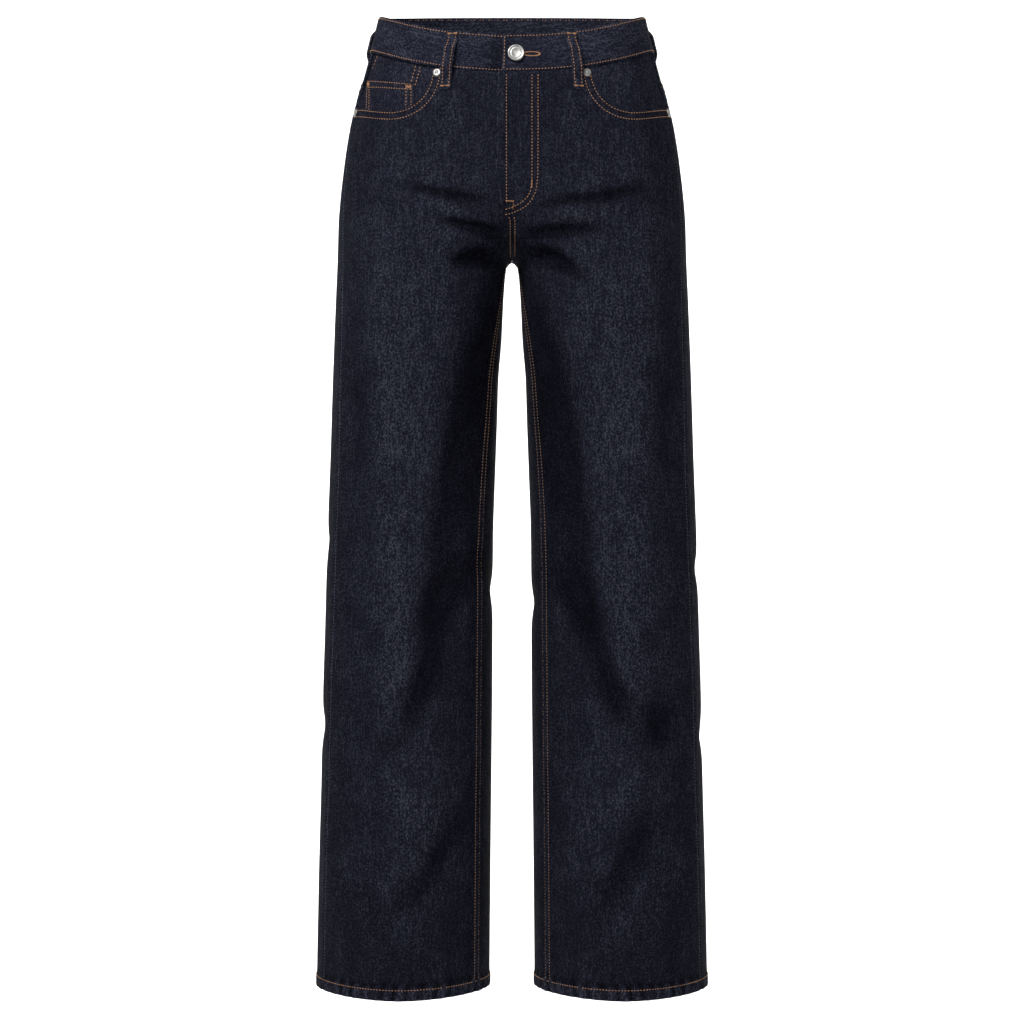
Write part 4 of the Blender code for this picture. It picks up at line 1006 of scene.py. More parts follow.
def crowded_lines(width, middle):
    """Shares across each row: lines crowded at both edges and even between them."""
    near = np.array(EDGE_LINES)[None, :] / width[:, None]
    far = 1.0 - near[:, ::-1]
    even = np.linspace(0.0, 1.0, middle + 2)[1:-1]
    between = near[:, -1:] + (far[:, :1] - near[:, -1:]) * even
    return np.concatenate((near, between, far), axis=1)


def edge_shares(near, far, length, even):
    """Shares of a length: lines given in metres at both ends and even ones between them."""
    return np.concatenate((np.array(near) / length, np.linspace(*even), 1.0 - np.array(far)[::-1] / length))


def spread_cloth(across, down, place):
    """Everything known about a grid of points on the cloth, as arrays of rows and columns."""
    shape = across.shape
    side, angle, height = place(across.ravel(), down.ravel())
    side = np.broadcast_to(side, height.shape)
    points, normals, rise = surface(side, angle, height)
    grid = (points + normals * rise[:, None]).reshape(*shape, 3)
    steps = np.linalg.norm(np.diff(grid, axis=1), axis=2)
    from_start = np.concatenate((np.zeros((shape[0], 1)), np.cumsum(steps, axis=1)), axis=1)
    steps = np.linalg.norm(np.diff(grid, axis=0), axis=2)
    from_top = np.concatenate((np.zeros((1, shape[1])), np.cumsum(steps, axis=0)), axis=0)
    return {
        "points": points.reshape(*shape, 3), "normals": normals.reshape(*shape, 3),
        "rise": rise.reshape(shape), "height": height.reshape(shape), "angle": angle.reshape(shape),
        "out": np.abs(grid[..., 0]), "from_start": from_start, "from_end": from_start[:, -1:] - from_start,
        "from_top": from_top, "from_foot": from_top[-1:] - from_top,
    }


def edge_roll(distance, roll):
    """How far the cloth rolls down at a cut or folded edge."""
    depth, reach = roll
    return -depth * np.clip(1.0 - distance / reach, 0.0, 1.0) ** 2


def roll_edges(cloth_grid, edges, roll=PANEL_ROLL):
    """The rolls at several edges of a piece together."""
    return sum(edge_roll(cloth_grid[edge], roll) for edge in edges)


def arc_table(face):
    """Lengths round the section at each height, from the line that the cloth's grain follows."""
    heights = np.linspace(GRAIN_LOW, GRAIN_HIGH, GRAIN_ROWS)
    angles = np.linspace(-1.5 * math.pi, 1.5 * math.pi, GRAIN_COLUMNS)
    grid = half_point(LEFT, np.repeat(angles[None, :], GRAIN_ROWS, axis=0),
                      np.repeat(heights[:, None], GRAIN_COLUMNS, axis=1))
    steps = np.linalg.norm(np.diff(grid, axis=1), axis=2)
    lengths = np.concatenate((np.zeros((GRAIN_ROWS, 1)), np.cumsum(steps, axis=1)), axis=1)
    middle = angle_at(np.full(GRAIN_ROWS, GRAIN_OUT), heights, face)
    start = np.array([np.interp(at, angles, row) for at, row in zip(middle, lengths)])
    return heights, angles, lengths - start[:, None]


def grain_across(face, angle, height):
    """Distance across the cloth from its grain line, read from the table of lengths."""
    if face not in ARC_TABLES:
        ARC_TABLES[face] = arc_table(face)
    heights, angles, lengths = ARC_TABLES[face]
    down = np.clip((height - heights[0]) / (heights[1] - heights[0]), 0.0, len(heights) - 1.001)
    round_ = np.clip((angle - angles[0]) / (angles[1] - angles[0]), 0.0, len(angles) - 1.001)
    row, column = down.astype(int), round_.astype(int)
    down, round_ = down - row, round_ - column
    low = lengths[row, column] * (1 - round_) + lengths[row, column + 1] * round_
    high = lengths[row + 1, column] * (1 - round_) + lengths[row + 1, column + 1] * round_
    return low * (1 - down) + high * down


def sew_wall(name, cloth_grid, lift, wall, material, slot, node, wear_and_shade, along_band=False):
    """A closed wall of cloth over a spread grid, with its pattern laid out in metres."""
    rows, columns = cloth_grid["height"].shape
    reach = (cloth_grid["rise"] + lift)[..., None]
    outer = cloth_grid["points"] + cloth_grid["normals"] * reach
    inner = outer - cloth_grid["normals"] * np.broadcast_to(wall, (rows, columns))[..., None]
    sheet = bmesh.new()
    bmesh.ops.create_grid(sheet, x_segments=columns - 1, y_segments=rows - 1, size=0.5)
    grown = bmesh.ops.extrude_face_region(sheet, geom=sheet.faces[:])
    back = [item for item in grown["geom"] if isinstance(item, bmesh.types.BMVert)]
    bmesh.ops.translate(sheet, verts=back, vec=(0.0, 0.0, -1.0))
    shares = np.array([vert.co for vert in sheet.verts], dtype=float)
    column = np.rint((shares[:, 0] + 0.5) * (columns - 1)).astype(int)
    row = np.rint((0.5 - shares[:, 1]) * (rows - 1)).astype(int)
    places = np.where(shares[:, 2:3] < -0.5, inner[row, column], outer[row, column])
    for vert, place in zip(sheet.verts, places):
        vert.co = place
    bmesh.ops.recalc_face_normals(sheet, faces=sheet.faces[:])
    if sheet.calc_volume(signed=True) < 0.0:
        bmesh.ops.reverse_faces(sheet, faces=sheet.faces[:])
    mesh = bpy.data.meshes.new(name)
    sheet.to_mesh(mesh)
    sheet.free()
    if along_band:
        pattern = np.stack((cloth_grid["from_top"], cloth_grid["from_start"]), axis=-1)
    else:
        face = "front" if cloth_grid["angle"].mean() < 0.0 else "back"
        pattern = np.stack((grain_across(face, cloth_grid["angle"], cloth_grid["height"]),
                            cloth_grid["height"]), axis=-1)
    pattern = pattern[row, column]
    corners = np.zeros(len(mesh.loops), dtype=np.int32)
    mesh.loops.foreach_get("vertex_index", corners)
    mesh.uv_layers.new(name=PATTERN_MAP).data.foreach_set("uv", pattern[corners].astype(np.float32).ravel())
    fade = mesh.attributes.new(WEAR_AND_SHADE_NAME, "FLOAT", "POINT")
    fade.data.foreach_set("value", wear_and_shade[row, column].astype(np.float32))
    mesh.shade_smooth()
    mesh.set_sharp_from_angle(angle=CLOTH_SHARP)
    return finish_piece(name, mesh, material, slot, node)


def finish_piece(name, mesh, material, slot, *nodes):
    """Puts a finished mesh in the scene, on the body, in place of its solids."""
    mesh.materials.append(material)
    piece = bpy.data.objects.new(name, mesh)
    bpy.context.scene.collection.objects.link(piece)
    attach(piece, BODY)
    if nodes:
        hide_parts(*nodes)
    return piece


def fly_lap(out, height):
    """The left front's fly is folded back on itself, so it stands a little proud."""
    folded = smooth_step(*FLY_LAP_EDGE, out)
    folded *= smooth_step(FLY_LAP_END - FLY_LAP_FADE, FLY_LAP_END, height)
    tape = np.exp(-((out - FLY_TAPE_OUT) / FLY_TAPE_WIDTH) ** 2)
    tape *= smooth_step(FLY_TAPE_END - FLY_LAP_FADE, FLY_TAPE_END, height)
    return FLY_LAP_RISE * folded + FLY_TAPE_RISE * tape


def uneven_waves(along, length, sway, rate, shift=0.0):
    """Waves of uneven length along the cloth, such as tight stitches pull up."""
    return np.sin((along + shift) * 2 * math.pi / length + sway * np.sin(along * rate))


def felled_seam(distance, along, active):
    """A folded seam beside an edge: a low step with puckers that the stitches draw in."""
    ridge = FELL_RISE * smooth_step(*FELL_EDGE, distance)
    pull = uneven_waves(along, PUCKER_LENGTH, *FELL_SWAY)
    return active * (ridge + PUCKER_RISE * pull * smooth_step(*FELL_PUCKER_FADE, distance))


def hem_fold(from_foot):
    """1 on the folded hem and 0 above it."""
    return smooth_step(HEM_DEPTH + HEM_STEP, HEM_DEPTH - HEM_STEP, from_foot)


def hem_shape(from_foot, along):
    """The folded hem: a step at its upper edge and slanting puckers below it."""
    puckers = bpy.context.scene.jeans_sizes.hem_puckers * hem_puckers(from_foot, along)
    return HEM_RISE * hem_fold(from_foot) + puckers


def hem_puckers(from_foot, along):
    """Slanting ridges and dips, uneven in length, that the hem's stitches draw in."""
    slant = uneven_waves(along, HEM_PUCKER_LENGTH, *HEM_SWAY, shift=HEM_SLANT * from_foot)
    uneven = HEM_UNEVEN_BASE + HEM_UNEVEN_SHARE * np.sin(along * HEM_UNEVEN_RATE + 1.0)
    return slant * uneven * smooth_step(*HEM_PUCKER_FADE, from_foot)


def hem_wear_and_shadow(from_foot, along):
    """The hem's ridges are faded pale by rubbing, and the cloth just above its stitches is darkened with a
    painted shadow.
    """
    above = np.exp(-((from_foot - HEM_DEPTH - HEM_SHADE_UP) / HEM_SHADE_WIDTH) ** 2)
    pale = HEM_WEAR * hem_fold(from_foot) + HEM_PUCKER_WEAR * hem_puckers(from_foot, along)
    return pale - HEM_SEW_SHADE * above


def seam_grid(place, down, middle):
    """Points on given rows, in columns that crowd at both of the piece's side edges."""
    coarse = spread_cloth(*np.meshgrid(np.linspace(0.0, 1.0, COARSE_COLUMNS), down), place)
    across = crowded_lines(coarse["from_start"][:, -1], middle)
    return spread_cloth(across, np.repeat(down[:, None], across.shape[1], axis=1), place)


def panel_grid(place, length, middle, rows):
    """A panel's points: lines crowd at its seams, at its top edge and at its hem."""
    near = np.array(TOP_LINES) / length
    foot = 1.0 - np.array(HEM_LINES)[::-1] / length
    down = np.concatenate((near, np.linspace(near[-1], foot[0], rows + 2)[1:-1], foot))
    return seam_grid(place, down, middle)


def soft_creases(side, cloth_grid):
    """The many small creases between the main folds, each listed in a table."""
    shape = cloth_grid["height"].shape
    points, normals = cloth_grid["points"].reshape(-1, 3), cloth_grid["normals"].reshape(-1, 3)
    return fold_rise(side, points, normals, SMALL_CREASES).reshape(shape)


def leg_shade(cloth_grid):
    """The middle of each leg's front is paler than its inner and outer sides: partly faded by rubbing, partly
    painted light on the middle and painted shade at the sides.
    """
    height, out = cloth_grid["height"], cloth_grid["out"]
    middle = read_table(RUB_AND_LIGHT_PLACES, RUB_AND_LIGHT_COLUMNS, "middle", height)
    width = read_table(RUB_AND_LIGHT_PLACES, RUB_AND_LIGHT_COLUMNS, "width", height)
    pale = read_table(RUB_AND_LIGHT_PLACES, RUB_AND_LIGHT_COLUMNS, "pale", height)
    # The constant taken off everywhere paints shade at the sides, where the pale middle has run out
    return pale * np.exp(-((out - middle) / width) ** 2) - SIDE_SHADE_BASE


def panel_wear_and_shade(cloth_grid, lift, extra_fading_and_shade=0.0):
    """Ridges and seam edges are paler, from abrasion and, at the edges, a painted highlight; the bottoms of
    the creases are darker with painted shade.
    """
    edges = np.minimum(np.minimum(cloth_grid["from_start"], cloth_grid["from_end"]), cloth_grid["from_top"])
    # Raised cloth counts paler, and sunken cloth such as a crease's bottom counts darker as painted shade
    pressed = np.tanh(WEAR_AND_SHADE_BY_RISE * (cloth_grid["rise"] + WEAR_AND_SHADE_BY_LIFT * lift))
    worn_and_shaded = 0.5 + 0.5 * pressed + leg_shade(cloth_grid) + extra_fading_and_shade
    # Along the edges a pale line, partly abrasion and partly a painted highlight
    return np.clip(worn_and_shaded + EDGE_PALE_RIM_AND_HIGHLIGHT * smooth_step(*EDGE_PALE_RIM_REACH, edges), 0.0, 1.0)


def sew_leg(face, side, cloth_grid, lift, tones, fly=0.0):
    """A leg's front or back once its seams are raised: its hem, edges, creases, their fading and painted
    shade.
    """
    lift += hem_shape(cloth_grid["from_foot"], cloth_grid["from_start"])
    lift += roll_edges(cloth_grid, PANEL_EDGES)
    lift += soft_creases(side, cloth_grid)
    worn_and_shaded = panel_wear_and_shade(cloth_grid, lift, hem_wear_and_shadow(cloth_grid["from_foot"], cloth_grid["from_start"]))
    node = face + "_" + SIDE_NAMES[side]
    return sew_wall("denim_" + node, cloth_grid, lift + fly, hem_wall(cloth_grid["height"]), tones[face],
                    "denim_" + face, node, worn_and_shaded)


def sew_front(side, tones):
    def place(across, down):
        return side, *front_place(side, across, down)

    grid = panel_grid(place, FRONT_LENGTH, FRONT_MIDDLE, FRONT_ROWS)
    along = -grid["height"]
    below = smooth_step(*INSEAM_FELL_FADE, grid["height"])
    lift = felled_seam(grid["from_start"], along, below)
    lift += felled_seam(grid["from_end"], along + SIDE_PUCKER_SHIFT, SIDE_FELL)
    fly = fly_lap(grid["out"], grid["height"]) if side == LEFT else 0.0
    return sew_leg("front", side, grid, lift, tones, fly)


def sew_back(side, tones):
    def place(across, down):
        return side, *back_place(side, across, down)

    grid = panel_grid(place, BACK_LENGTH, BACK_MIDDLE, BACK_ROWS)
    above = smooth_step(*CENTRE_FELL_FADE, grid["height"])
    lift = felled_seam(grid["from_start"], grid["from_top"], above * CENTRE_FELL[side])
    lift += felled_seam(grid["from_end"], -grid["height"], SIDE_FELL)
    lift += felled_seam(grid["from_top"], grid["from_start"], YOKE_SEAM_FELL)
    return sew_leg("back", side, grid, lift, tones)


def sew_yoke(side, tones):
    def place(across, down):
        return side, *yoke_place(side, across, down)

    grid = seam_grid(place, edge_shares(TOP_LINES, SHORT_EDGE_LINES, YOKE_DEPTH, YOKE_EVEN), BACK_MIDDLE)
    lift = felled_seam(grid["from_foot"], grid["from_start"], 1.0)
    lift += roll_edges(grid, ALL_EDGES)
    return sew_wall("denim_yoke_" + SIDE_NAMES[side], grid, lift, CLOTH_WALL, tones["back"], "denim_back",
                    "yoke_" + SIDE_NAMES[side], panel_wear_and_shade(grid, lift))


def sew_waistband(tones):
    def place(across, down):
        side, angle = band_bearing(band_travel(across))
        top = on_side(waist_top, side, angle)
        return side, angle, top - down * on_side(band_height, side, angle)

    across, down = np.meshgrid(edge_shares(BAND_END_LINES, BAND_END_LINES, BAND_LENGTH, BAND_EVEN),
                               edge_shares(SHORT_EDGE_LINES, SHORT_EDGE_LINES, BAND_DROP, BAND_ROWS))
    grid = spread_cloth(across, down, place)
    near = np.minimum(grid["from_top"], grid["from_foot"])
    pull = uneven_waves(grid["from_start"], PUCKER_LENGTH, *BAND_SWAY)
    lift = band_lift(band_travel(across)) + BAND_PUCKER * pull * smooth_step(*BAND_PUCKER_FADE, near)
    lift -= BAND_SEW_DIP * np.exp(-((near - BAND_SEW_IN) / BAND_SEW_DIP_WIDTH) ** 2)
    lift += roll_edges(grid, ALL_EDGES, BAND_ROLL)
    return sew_wall("denim_waistband", grid, lift, BAND_WALL, tones["band"], "denim_waistband", "waistband",
                    panel_wear_and_shade(grid, lift - BAND_PROUD), along_band=True)


def facing_lift(side, out):
    """The facing lies behind the panels, and lower where it carries the coin pocket."""
    if side == LEFT:
        return np.full_like(out, FACING_REST)
    return FACING_REST - (COIN_WALL + LAYER_GAP) * smooth_step(*FACING_EASE, out)


def sew_facing(side, tones):
    def place(across, down):
        return side, *facing_place(side, across, down)

    across, down = np.meshgrid(np.linspace(0.0, 1.0, FACING_COLUMNS), np.linspace(0.0, 1.0, FACING_ROWS))
    grid = spread_cloth(across, down, place)
    lift = facing_lift(side, grid["out"])
    return sew_wall("denim_pocket_facing_" + SIDE_NAMES[side], grid, lift, CLOTH_WALL, tones["pocket"],
                    "denim_pocket", "pocket_facing_" + SIDE_NAMES[side], panel_wear_and_shade(grid, 0.0))


def sew_coin_pocket(tones):
    def place(across, down):
        return RIGHT, *coin_place(across, down)

    share = edge_shares(SHORT_EDGE_LINES, SHORT_EDGE_LINES, COIN_SPAN, COIN_EVEN)
    grid = spread_cloth(*np.meshgrid(share, share), place)
    lift = FACING_REST + roll_edges(grid, PANEL_EDGES, COIN_ROLL)
    return sew_wall("denim_coin_pocket", grid, lift, COIN_WALL * THIN_SHARE, tones["pocket"], "denim_pocket",
                    "coin_pocket", panel_wear_and_shade(grid, COIN_WEAR_AND_SHADE_LIFT))


def sew_back_pocket(side, tones):
    def place(across, down):
        return side, *pocket_place(across, down)

    share = edge_shares(SHORT_EDGE_LINES, SHORT_EDGE_LINES, POCKET_TOP_WIDTH, POCKET_EVEN)
    grid = spread_cloth(*np.meshgrid(share, share), place)
    near = np.minimum(np.minimum(grid["from_start"], grid["from_end"]), grid["from_foot"])
    lift = PATCH_GAP + CLOTH_WALL + FELL_RISE * POCKET_FELL * smooth_step(*POCKET_FELL_EDGE, near)
    lift += POCKET_MOUTH_RISE * smooth_step(*POCKET_MOUTH_EDGE, grid["from_top"])
    pull = np.sin(grid["from_top"] * 2 * math.pi / PUCKER_LENGTH)
    pull += np.sin(grid["from_start"] * POCKET_PUCKER_RATE)
    lift += POCKET_PUCKER_SHARE * PUCKER_RISE * pull * smooth_step(*POCKET_PUCKER_FADE, near)
    lift += roll_edges(grid, ALL_EDGES, PATCH_ROLL)
    return sew_wall("denim_back_pocket_" + SIDE_NAMES[side], grid, lift, lift - PATCH_GAP, tones["back"],
                    "denim_back", "back_pocket_" + SIDE_NAMES[side], panel_wear_and_shade(grid, POCKET_WEAR_AND_SHADE_LIFT))


def sew_belt_loop(name, side, middle_angle, tones):
    def place(across, down):
        return side, *loop_place(side, middle_angle, across, down)

    share = edge_shares(SHORT_EDGE_LINES, SHORT_EDGE_LINES, LOOP_WIDTH, LOOP_EVEN)
    across, down = np.meshgrid(share, np.linspace(0.0, 1.0, LOOP_ROWS))
    grid = spread_cloth(across, down, place)
    lift = loop_lift(down) + LOOP_WALL + LOOP_CROWN * np.cos((across - 0.5) * 2 * math.pi)
    lift += edge_roll(np.minimum(down, 1.0 - down) * LOOP_LENGTH, PATCH_ROLL)
    lift += roll_edges(grid, ("from_start", "from_end"), PATCH_ROLL)
    return sew_wall("denim_" + name, grid, lift, LOOP_WALL * THIN_SHARE, tones["loop"], "denim_belt_loop",
                    name, panel_wear_and_shade(grid, LOOP_WEAR_AND_SHADE_LIFT))


def lay_stitches(thread, points, normals, single=False):
    """Stitches end to end along a line on the cloth, each a small rounded grain."""
    sizes = bpy.context.scene.jeans_sizes
    steps = np.linalg.norm(np.diff(points, axis=0), axis=1)
    travel = np.concatenate(([0.0], np.cumsum(steps)))
    count = 1 if single else max(int(travel[-1] / sizes.stitch_length), 1)
    gap = sizes.stitch_gap / 2
    for stitch in range(count):
        start = (stitch + gap) / count * travel[-1]
        end = (stitch + 1.0 - gap) / count * travel[-1]
        first, last = (np.array([np.interp(at, travel, points[:, axis]) for axis in range(3)])
                       for at in (start, end))
        out = np.array([np.interp((start + end) / 2, travel, normals[:, axis]) for axis in range(3)])
        along = last - first
        across = np.cross(out, along)
        across /= np.linalg.norm(across)
        out = np.cross(along, across) / np.linalg.norm(along)
        columns = (along / 2, across * sizes.thread_width / 2, out * sizes.thread_width * THREAD_FLATNESS / 2,
                   (first + last) / 2)
        matrix = Matrix([[column[axis] for column in columns] for axis in range(3)] + [[0.0, 0.0, 0.0, 1.0]])
        bmesh.ops.create_icosphere(thread, subdivisions=1, radius=1.0, matrix=matrix)


def thread_line(side, angle, height, lift):
    """Points and normals of a line of stitches that lies lift above the cloth's surface."""
    side = np.broadcast_to(side, height.shape)
    points, normals, rise = surface(side, angle, height)
    return points + normals * (rise + lift)[:, None], normals


def smooth_line(places, count):
    """A smooth curve through a few (out, height) places, by Catmull-Rom steps."""
    places = np.array(places, dtype=float)
    padded = np.concatenate((2 * places[:1] - places[1:2], places, 2 * places[-1:] - places[-2:-1]))
    spans = len(places) - 1
    at = np.linspace(0.0, spans, count)
    span = np.minimum(at.astype(int), spans - 1)
    t = (at - span)[:, None]
    before, start, end, after = (padded[span + shift] for shift in range(4))
    curve = 0.5 * (2 * start + (end - before) * t + (2 * before - 5 * start + 4 * end - after) * t ** 2
                   + (3 * start - before - 3 * end + after) * t ** 3)
    return curve[:, 0], curve[:, 1]


def front_line(side, out, height, lift):
    """A line of stitches on the front. A negative distance out is past the middle plane."""
    out, height = np.asarray(out, dtype=float), np.asarray(height, dtype=float)
    angle = angle_at(np.abs(out), height, "front")
    return thread_line(np.where(out >= 0.0, side, -side), angle, height, lift)


def finish_thread(name, thread, material):
    mesh = bpy.data.meshes.new(name)
    thread.to_mesh(mesh)
    thread.free()
    mesh.shade_smooth()
    return finish_piece(name, mesh, material, None)


def lay_bartack(thread, side, bar):
    """A bartack: a row of close stitches from one end of a bar to the other."""
    start = np.array((bar["start_out"], bar["start_height"]))
    end = np.array((bar["end_out"], bar["end_height"]))
    length = np.linalg.norm(end - start)
    along = (end - start) / length
    across = np.array((-along[1], along[0])) * bar["width"] / 2
    count = int(length / BARTACK_PITCH) + 1
    for at in np.linspace(0.0, length, count):
        middle = start + along * at
        out, height = np.stack((middle - across, middle + across), axis=-1)
        lay_stitches(thread, *front_line(side, out, height, bar["lift"]), single=True)


def beside(side, angle, height, step):
    """Angle of a line that runs beside another at a distance along the cloth."""
    reach = np.sign(step) * BESIDE_REACH * np.linspace(0.0, 1.0, ARC_STEPS)
    angles = angle[:, None] + reach
    points = half_point(side, angles, np.repeat(height[:, None], angles.shape[1], axis=1))
    steps = np.linalg.norm(np.diff(points, axis=1), axis=2)
    lengths = np.concatenate((np.zeros((len(height), 1)), np.cumsum(steps, axis=1)), axis=1)
    return np.array([np.interp(abs(step), *row) for row in zip(lengths, angles)])


def sew_fly(thread):
    """The fly's edge, its double curved line, the crotch seam and their bartacks."""
    height = np.linspace(FLY_SEW_TOP, FLY_SEW_END, LINE_POINTS["fly_edge"])
    out = -fly_line(height) + FLY_EDGE_SEW_IN
    lay_stitches(thread, *front_line(LEFT, out, height, fly_lap(np.abs(out), height)))
    for curve in (FLY_CURVE, FLY_INNER_CURVE):
        out, height = smooth_line(curve, LINE_POINTS["fly_curve"])
        lay_stitches(thread, *front_line(LEFT, out, height, fly_lap(np.abs(out), height)))
    for row in FLY_BARTACKS:
        lay_bartack(thread, LEFT, dict(zip(FLY_BARTACK_COLUMNS, row)))
    height = np.linspace(CROTCH_SEW_TOP, CROTCH_SEW_END, LINE_POINTS["crotch"])
    edge = np.maximum(fly_line(height), CROTCH_LAP_OUT * smooth_step(*CROTCH_LAP_FADE, height))
    for inset in CROTCH_SEW_IN:
        lay_stitches(thread, *front_line(LEFT, inset - edge, height, FELL_RISE))


def sew_scoops(thread):
    """Two rows beside each front pocket's mouth."""
    share = np.linspace(0.0, 1.0, LINE_POINTS["scoop"])
    seam_out = section("outer", SCOOP_END) - SCOOP_SEW_END_IN
    out = SCOOP_START + (seam_out - SCOOP_START) * share ** SCOOP_SEW_SPREAD
    height = scoop_height(out)
    step = np.gradient(np.stack((out, height), axis=-1), axis=0)
    step /= np.linalg.norm(step, axis=1, keepdims=True) + 1e-12
    for side in (LEFT, RIGHT):
        top = waist_seam(side, angle_at(SCOOP_START, SCOOP_START_HEIGHT, "front")) - SCOOP_SEW_TOP_GAP
        for inset in SCOOP_SEW_IN:
            moved_out, moved_height = out + inset * step[:, 1], height - inset * step[:, 0]
            keep = (moved_height < top) & (moved_out < section("outer", moved_height) - SCOOP_SEW_SIDE_GAP)
            lay_stitches(thread, *front_line(side, moved_out[keep], moved_height[keep], SCOOP_SEW_LIFT))


def sew_inseams(thread):
    """Two rows on the front panel beside each inseam."""
    height = np.linspace(INSEAM_SEW_TOP, HEM_HEIGHT + HEM_DEPTH, LINE_POINTS["seam"])
    for side in (LEFT, RIGHT):
        for inset in INSEAM_SEW_IN:
            angle = beside(side, inseam_angle(height), height, inset)
            lay_stitches(thread, *thread_line(side, angle, height, FELL_RISE - INSEAM_SUNK))


def sew_side_seams(thread):
    """One quiet row on the front panel beside each side seam."""
    height = np.linspace(SIDE_SEW_TOP, HEM_HEIGHT + HEM_DEPTH, LINE_POINTS["seam"])
    for side in (LEFT, RIGHT):
        angle = beside(side, side_seam_angle(height), height, -SIDE_SEW_IN)
        lay_stitches(thread, *thread_line(side, angle, height, SIDE_FELL * FELL_RISE))


def sew_hems(thread):
    """One row all round each hem, a little above its foot."""
    turn = np.linspace(-math.pi, math.pi, LINE_POINTS["hem"])
    for side in (LEFT, RIGHT):
        height = np.full_like(turn, HEM_HEIGHT + HEM_SEW_UP)
        lay_stitches(thread, *thread_line(side, turn, height, HEM_RISE))


def sew_band_lines(thread):
    """The band's edge rows, all round, and the row up its overlapping end."""
    end = 2 * math.pi + BAND_OVER_END
    travel = np.linspace(-BAND_SEW_SHIFT, end - BAND_SEW_SHIFT, LINE_POINTS["band"])
    side, angle = band_bearing(travel)
    lift = band_lift(travel)
    top, foot = on_side(waist_top, side, angle), on_side(waist_seam, side, angle)
    for height in (top - BAND_SEW_IN, foot + BAND_SEW_IN):
        lay_stitches(thread, *thread_line(side, angle, height, lift))
        points, normals = thread_line(side, angle, height, lift - BAND_WALL)
        lay_stitches(thread, points, -normals)
    inset = np.linspace(BAND_SEW_IN, BAND_DROP + BAND_FRONT_EXTRA - BAND_SEW_IN, LINE_POINTS["band_end"])
    side, angle = band_bearing(np.full_like(inset, end - BAND_END_SEW_IN))
    height = on_side(waist_top, side, angle) - inset
    lay_stitches(thread, *thread_line(side, angle, height, BAND_PROUD))


def sew_coin_lines(thread):
    """Two rows under the coin pocket's mouth, two down each side and a tack at each corner."""
    def lay(across, down, single=False):
        lay_stitches(thread, *thread_line(RIGHT, *coin_place(across, down), FACING_REST), single)

    for inset in COIN_TOP_SEW_IN:
        across = np.linspace(*COIN_TOP_SPAN, LINE_POINTS["coin"])
        lay(across, np.full_like(across, inset))
    for inset in COIN_SIDE_SEW_IN:
        for across in (inset, 1.0 - inset):
            down = np.linspace(COIN_TOP_SEW_IN[0], COIN_SIDE_SEW_END, LINE_POINTS["coin"])
            lay(np.full_like(down, across), down)
    for middle in (sum(COIN_SIDE_SEW_IN) / 2, 1.0 - sum(COIN_SIDE_SEW_IN) / 2):
        for step in np.linspace(-0.5, 0.5, COIN_TACK_STITCHES):
            down = np.array(COIN_TOP_SEW_IN)
            lay(np.full_like(down, middle + step * COIN_TACK_WIDTH), down, single=True)


def sew_facing_lines(thread):
    """Short rows on the facings that hold the pocket bag beside the coin pocket."""
    for row in FACING_SEWING:
        line = dict(zip(FACING_SEWING_COLUMNS, row))
        height = np.linspace(line["start_height"], line["end_height"], LINE_POINTS["facing"])
        out = np.linspace(line["start_out"], line["end_out"], LINE_POINTS["facing"])
        lift = facing_lift(line["side"], out)
        lay_stitches(thread, *front_line(line["side"], out, height, lift))


def sew_back_lines(thread):
    """The double rows on the yoke and the centre back seam."""
    across = np.linspace(0.0, 1.0, LINE_POINTS["yoke"])
    for side in (LEFT, RIGHT):
        for inset in FELL_SEW_IN:
            bottom = yoke_bottom(across) + inset
            first, last = back_inner_angle(bottom), side_seam_angle(bottom) + SEAM_ANGLE
            lay_stitches(thread, *thread_line(side, first + (last - first) * across, bottom, FELL_RISE))
    top = float(waist_seam(LEFT, np.array(math.pi / 2))) - BACK_SEW_TOP_GAP
    height = seam_heights("back", top, np.linspace(0.0, 1.0, LINE_POINTS["centre_back"]))
    keep = height > BACK_SEW_END
    for inset in FELL_SEW_IN:
        angle = angle_at(inset, height, "back") - SEAM_ANGLE
        lay_stitches(thread, *thread_line(LEFT, angle[keep], height[keep], FELL_RISE))


def sew_back_pocket_lines(thread):
    """Two rows inside each back pocket's edge and two under its mouth."""
    lift = PATCH_GAP + CLOTH_WALL
    count = LINE_POINTS["pocket_edge"]
    for side in (LEFT, RIGHT):
        for inset in POCKET_SEW_IN:
            foot = 1.0 - inset / POCKET_SIDE_LENGTH
            edge = inset / POCKET_FOOT_WIDTH
            down = np.concatenate((np.linspace(POCKET_SEW_START, foot, count),
                                   np.full(count, 1.0 - inset / POCKET_MID_LENGTH),
                                   np.linspace(foot, POCKET_SEW_START, count)))
            across = np.concatenate((np.full(count, edge), np.linspace(edge, 1.0 - edge, count),
                                     np.full(count, 1.0 - edge)))
            line = thread_line(side, *pocket_place(across, down), lift + POCKET_FELL * FELL_RISE)
            lay_stitches(thread, *line)
        for inset in POCKET_MOUTH_SEW_IN:
            across = np.linspace(*POCKET_MOUTH_SPAN, LINE_POINTS["pocket_mouth"])
            down = np.full_like(across, inset / POCKET_SIDE_LENGTH)
            line = thread_line(side, *pocket_place(across, down), lift + POCKET_MOUTH_RISE)
            lay_stitches(thread, *line)


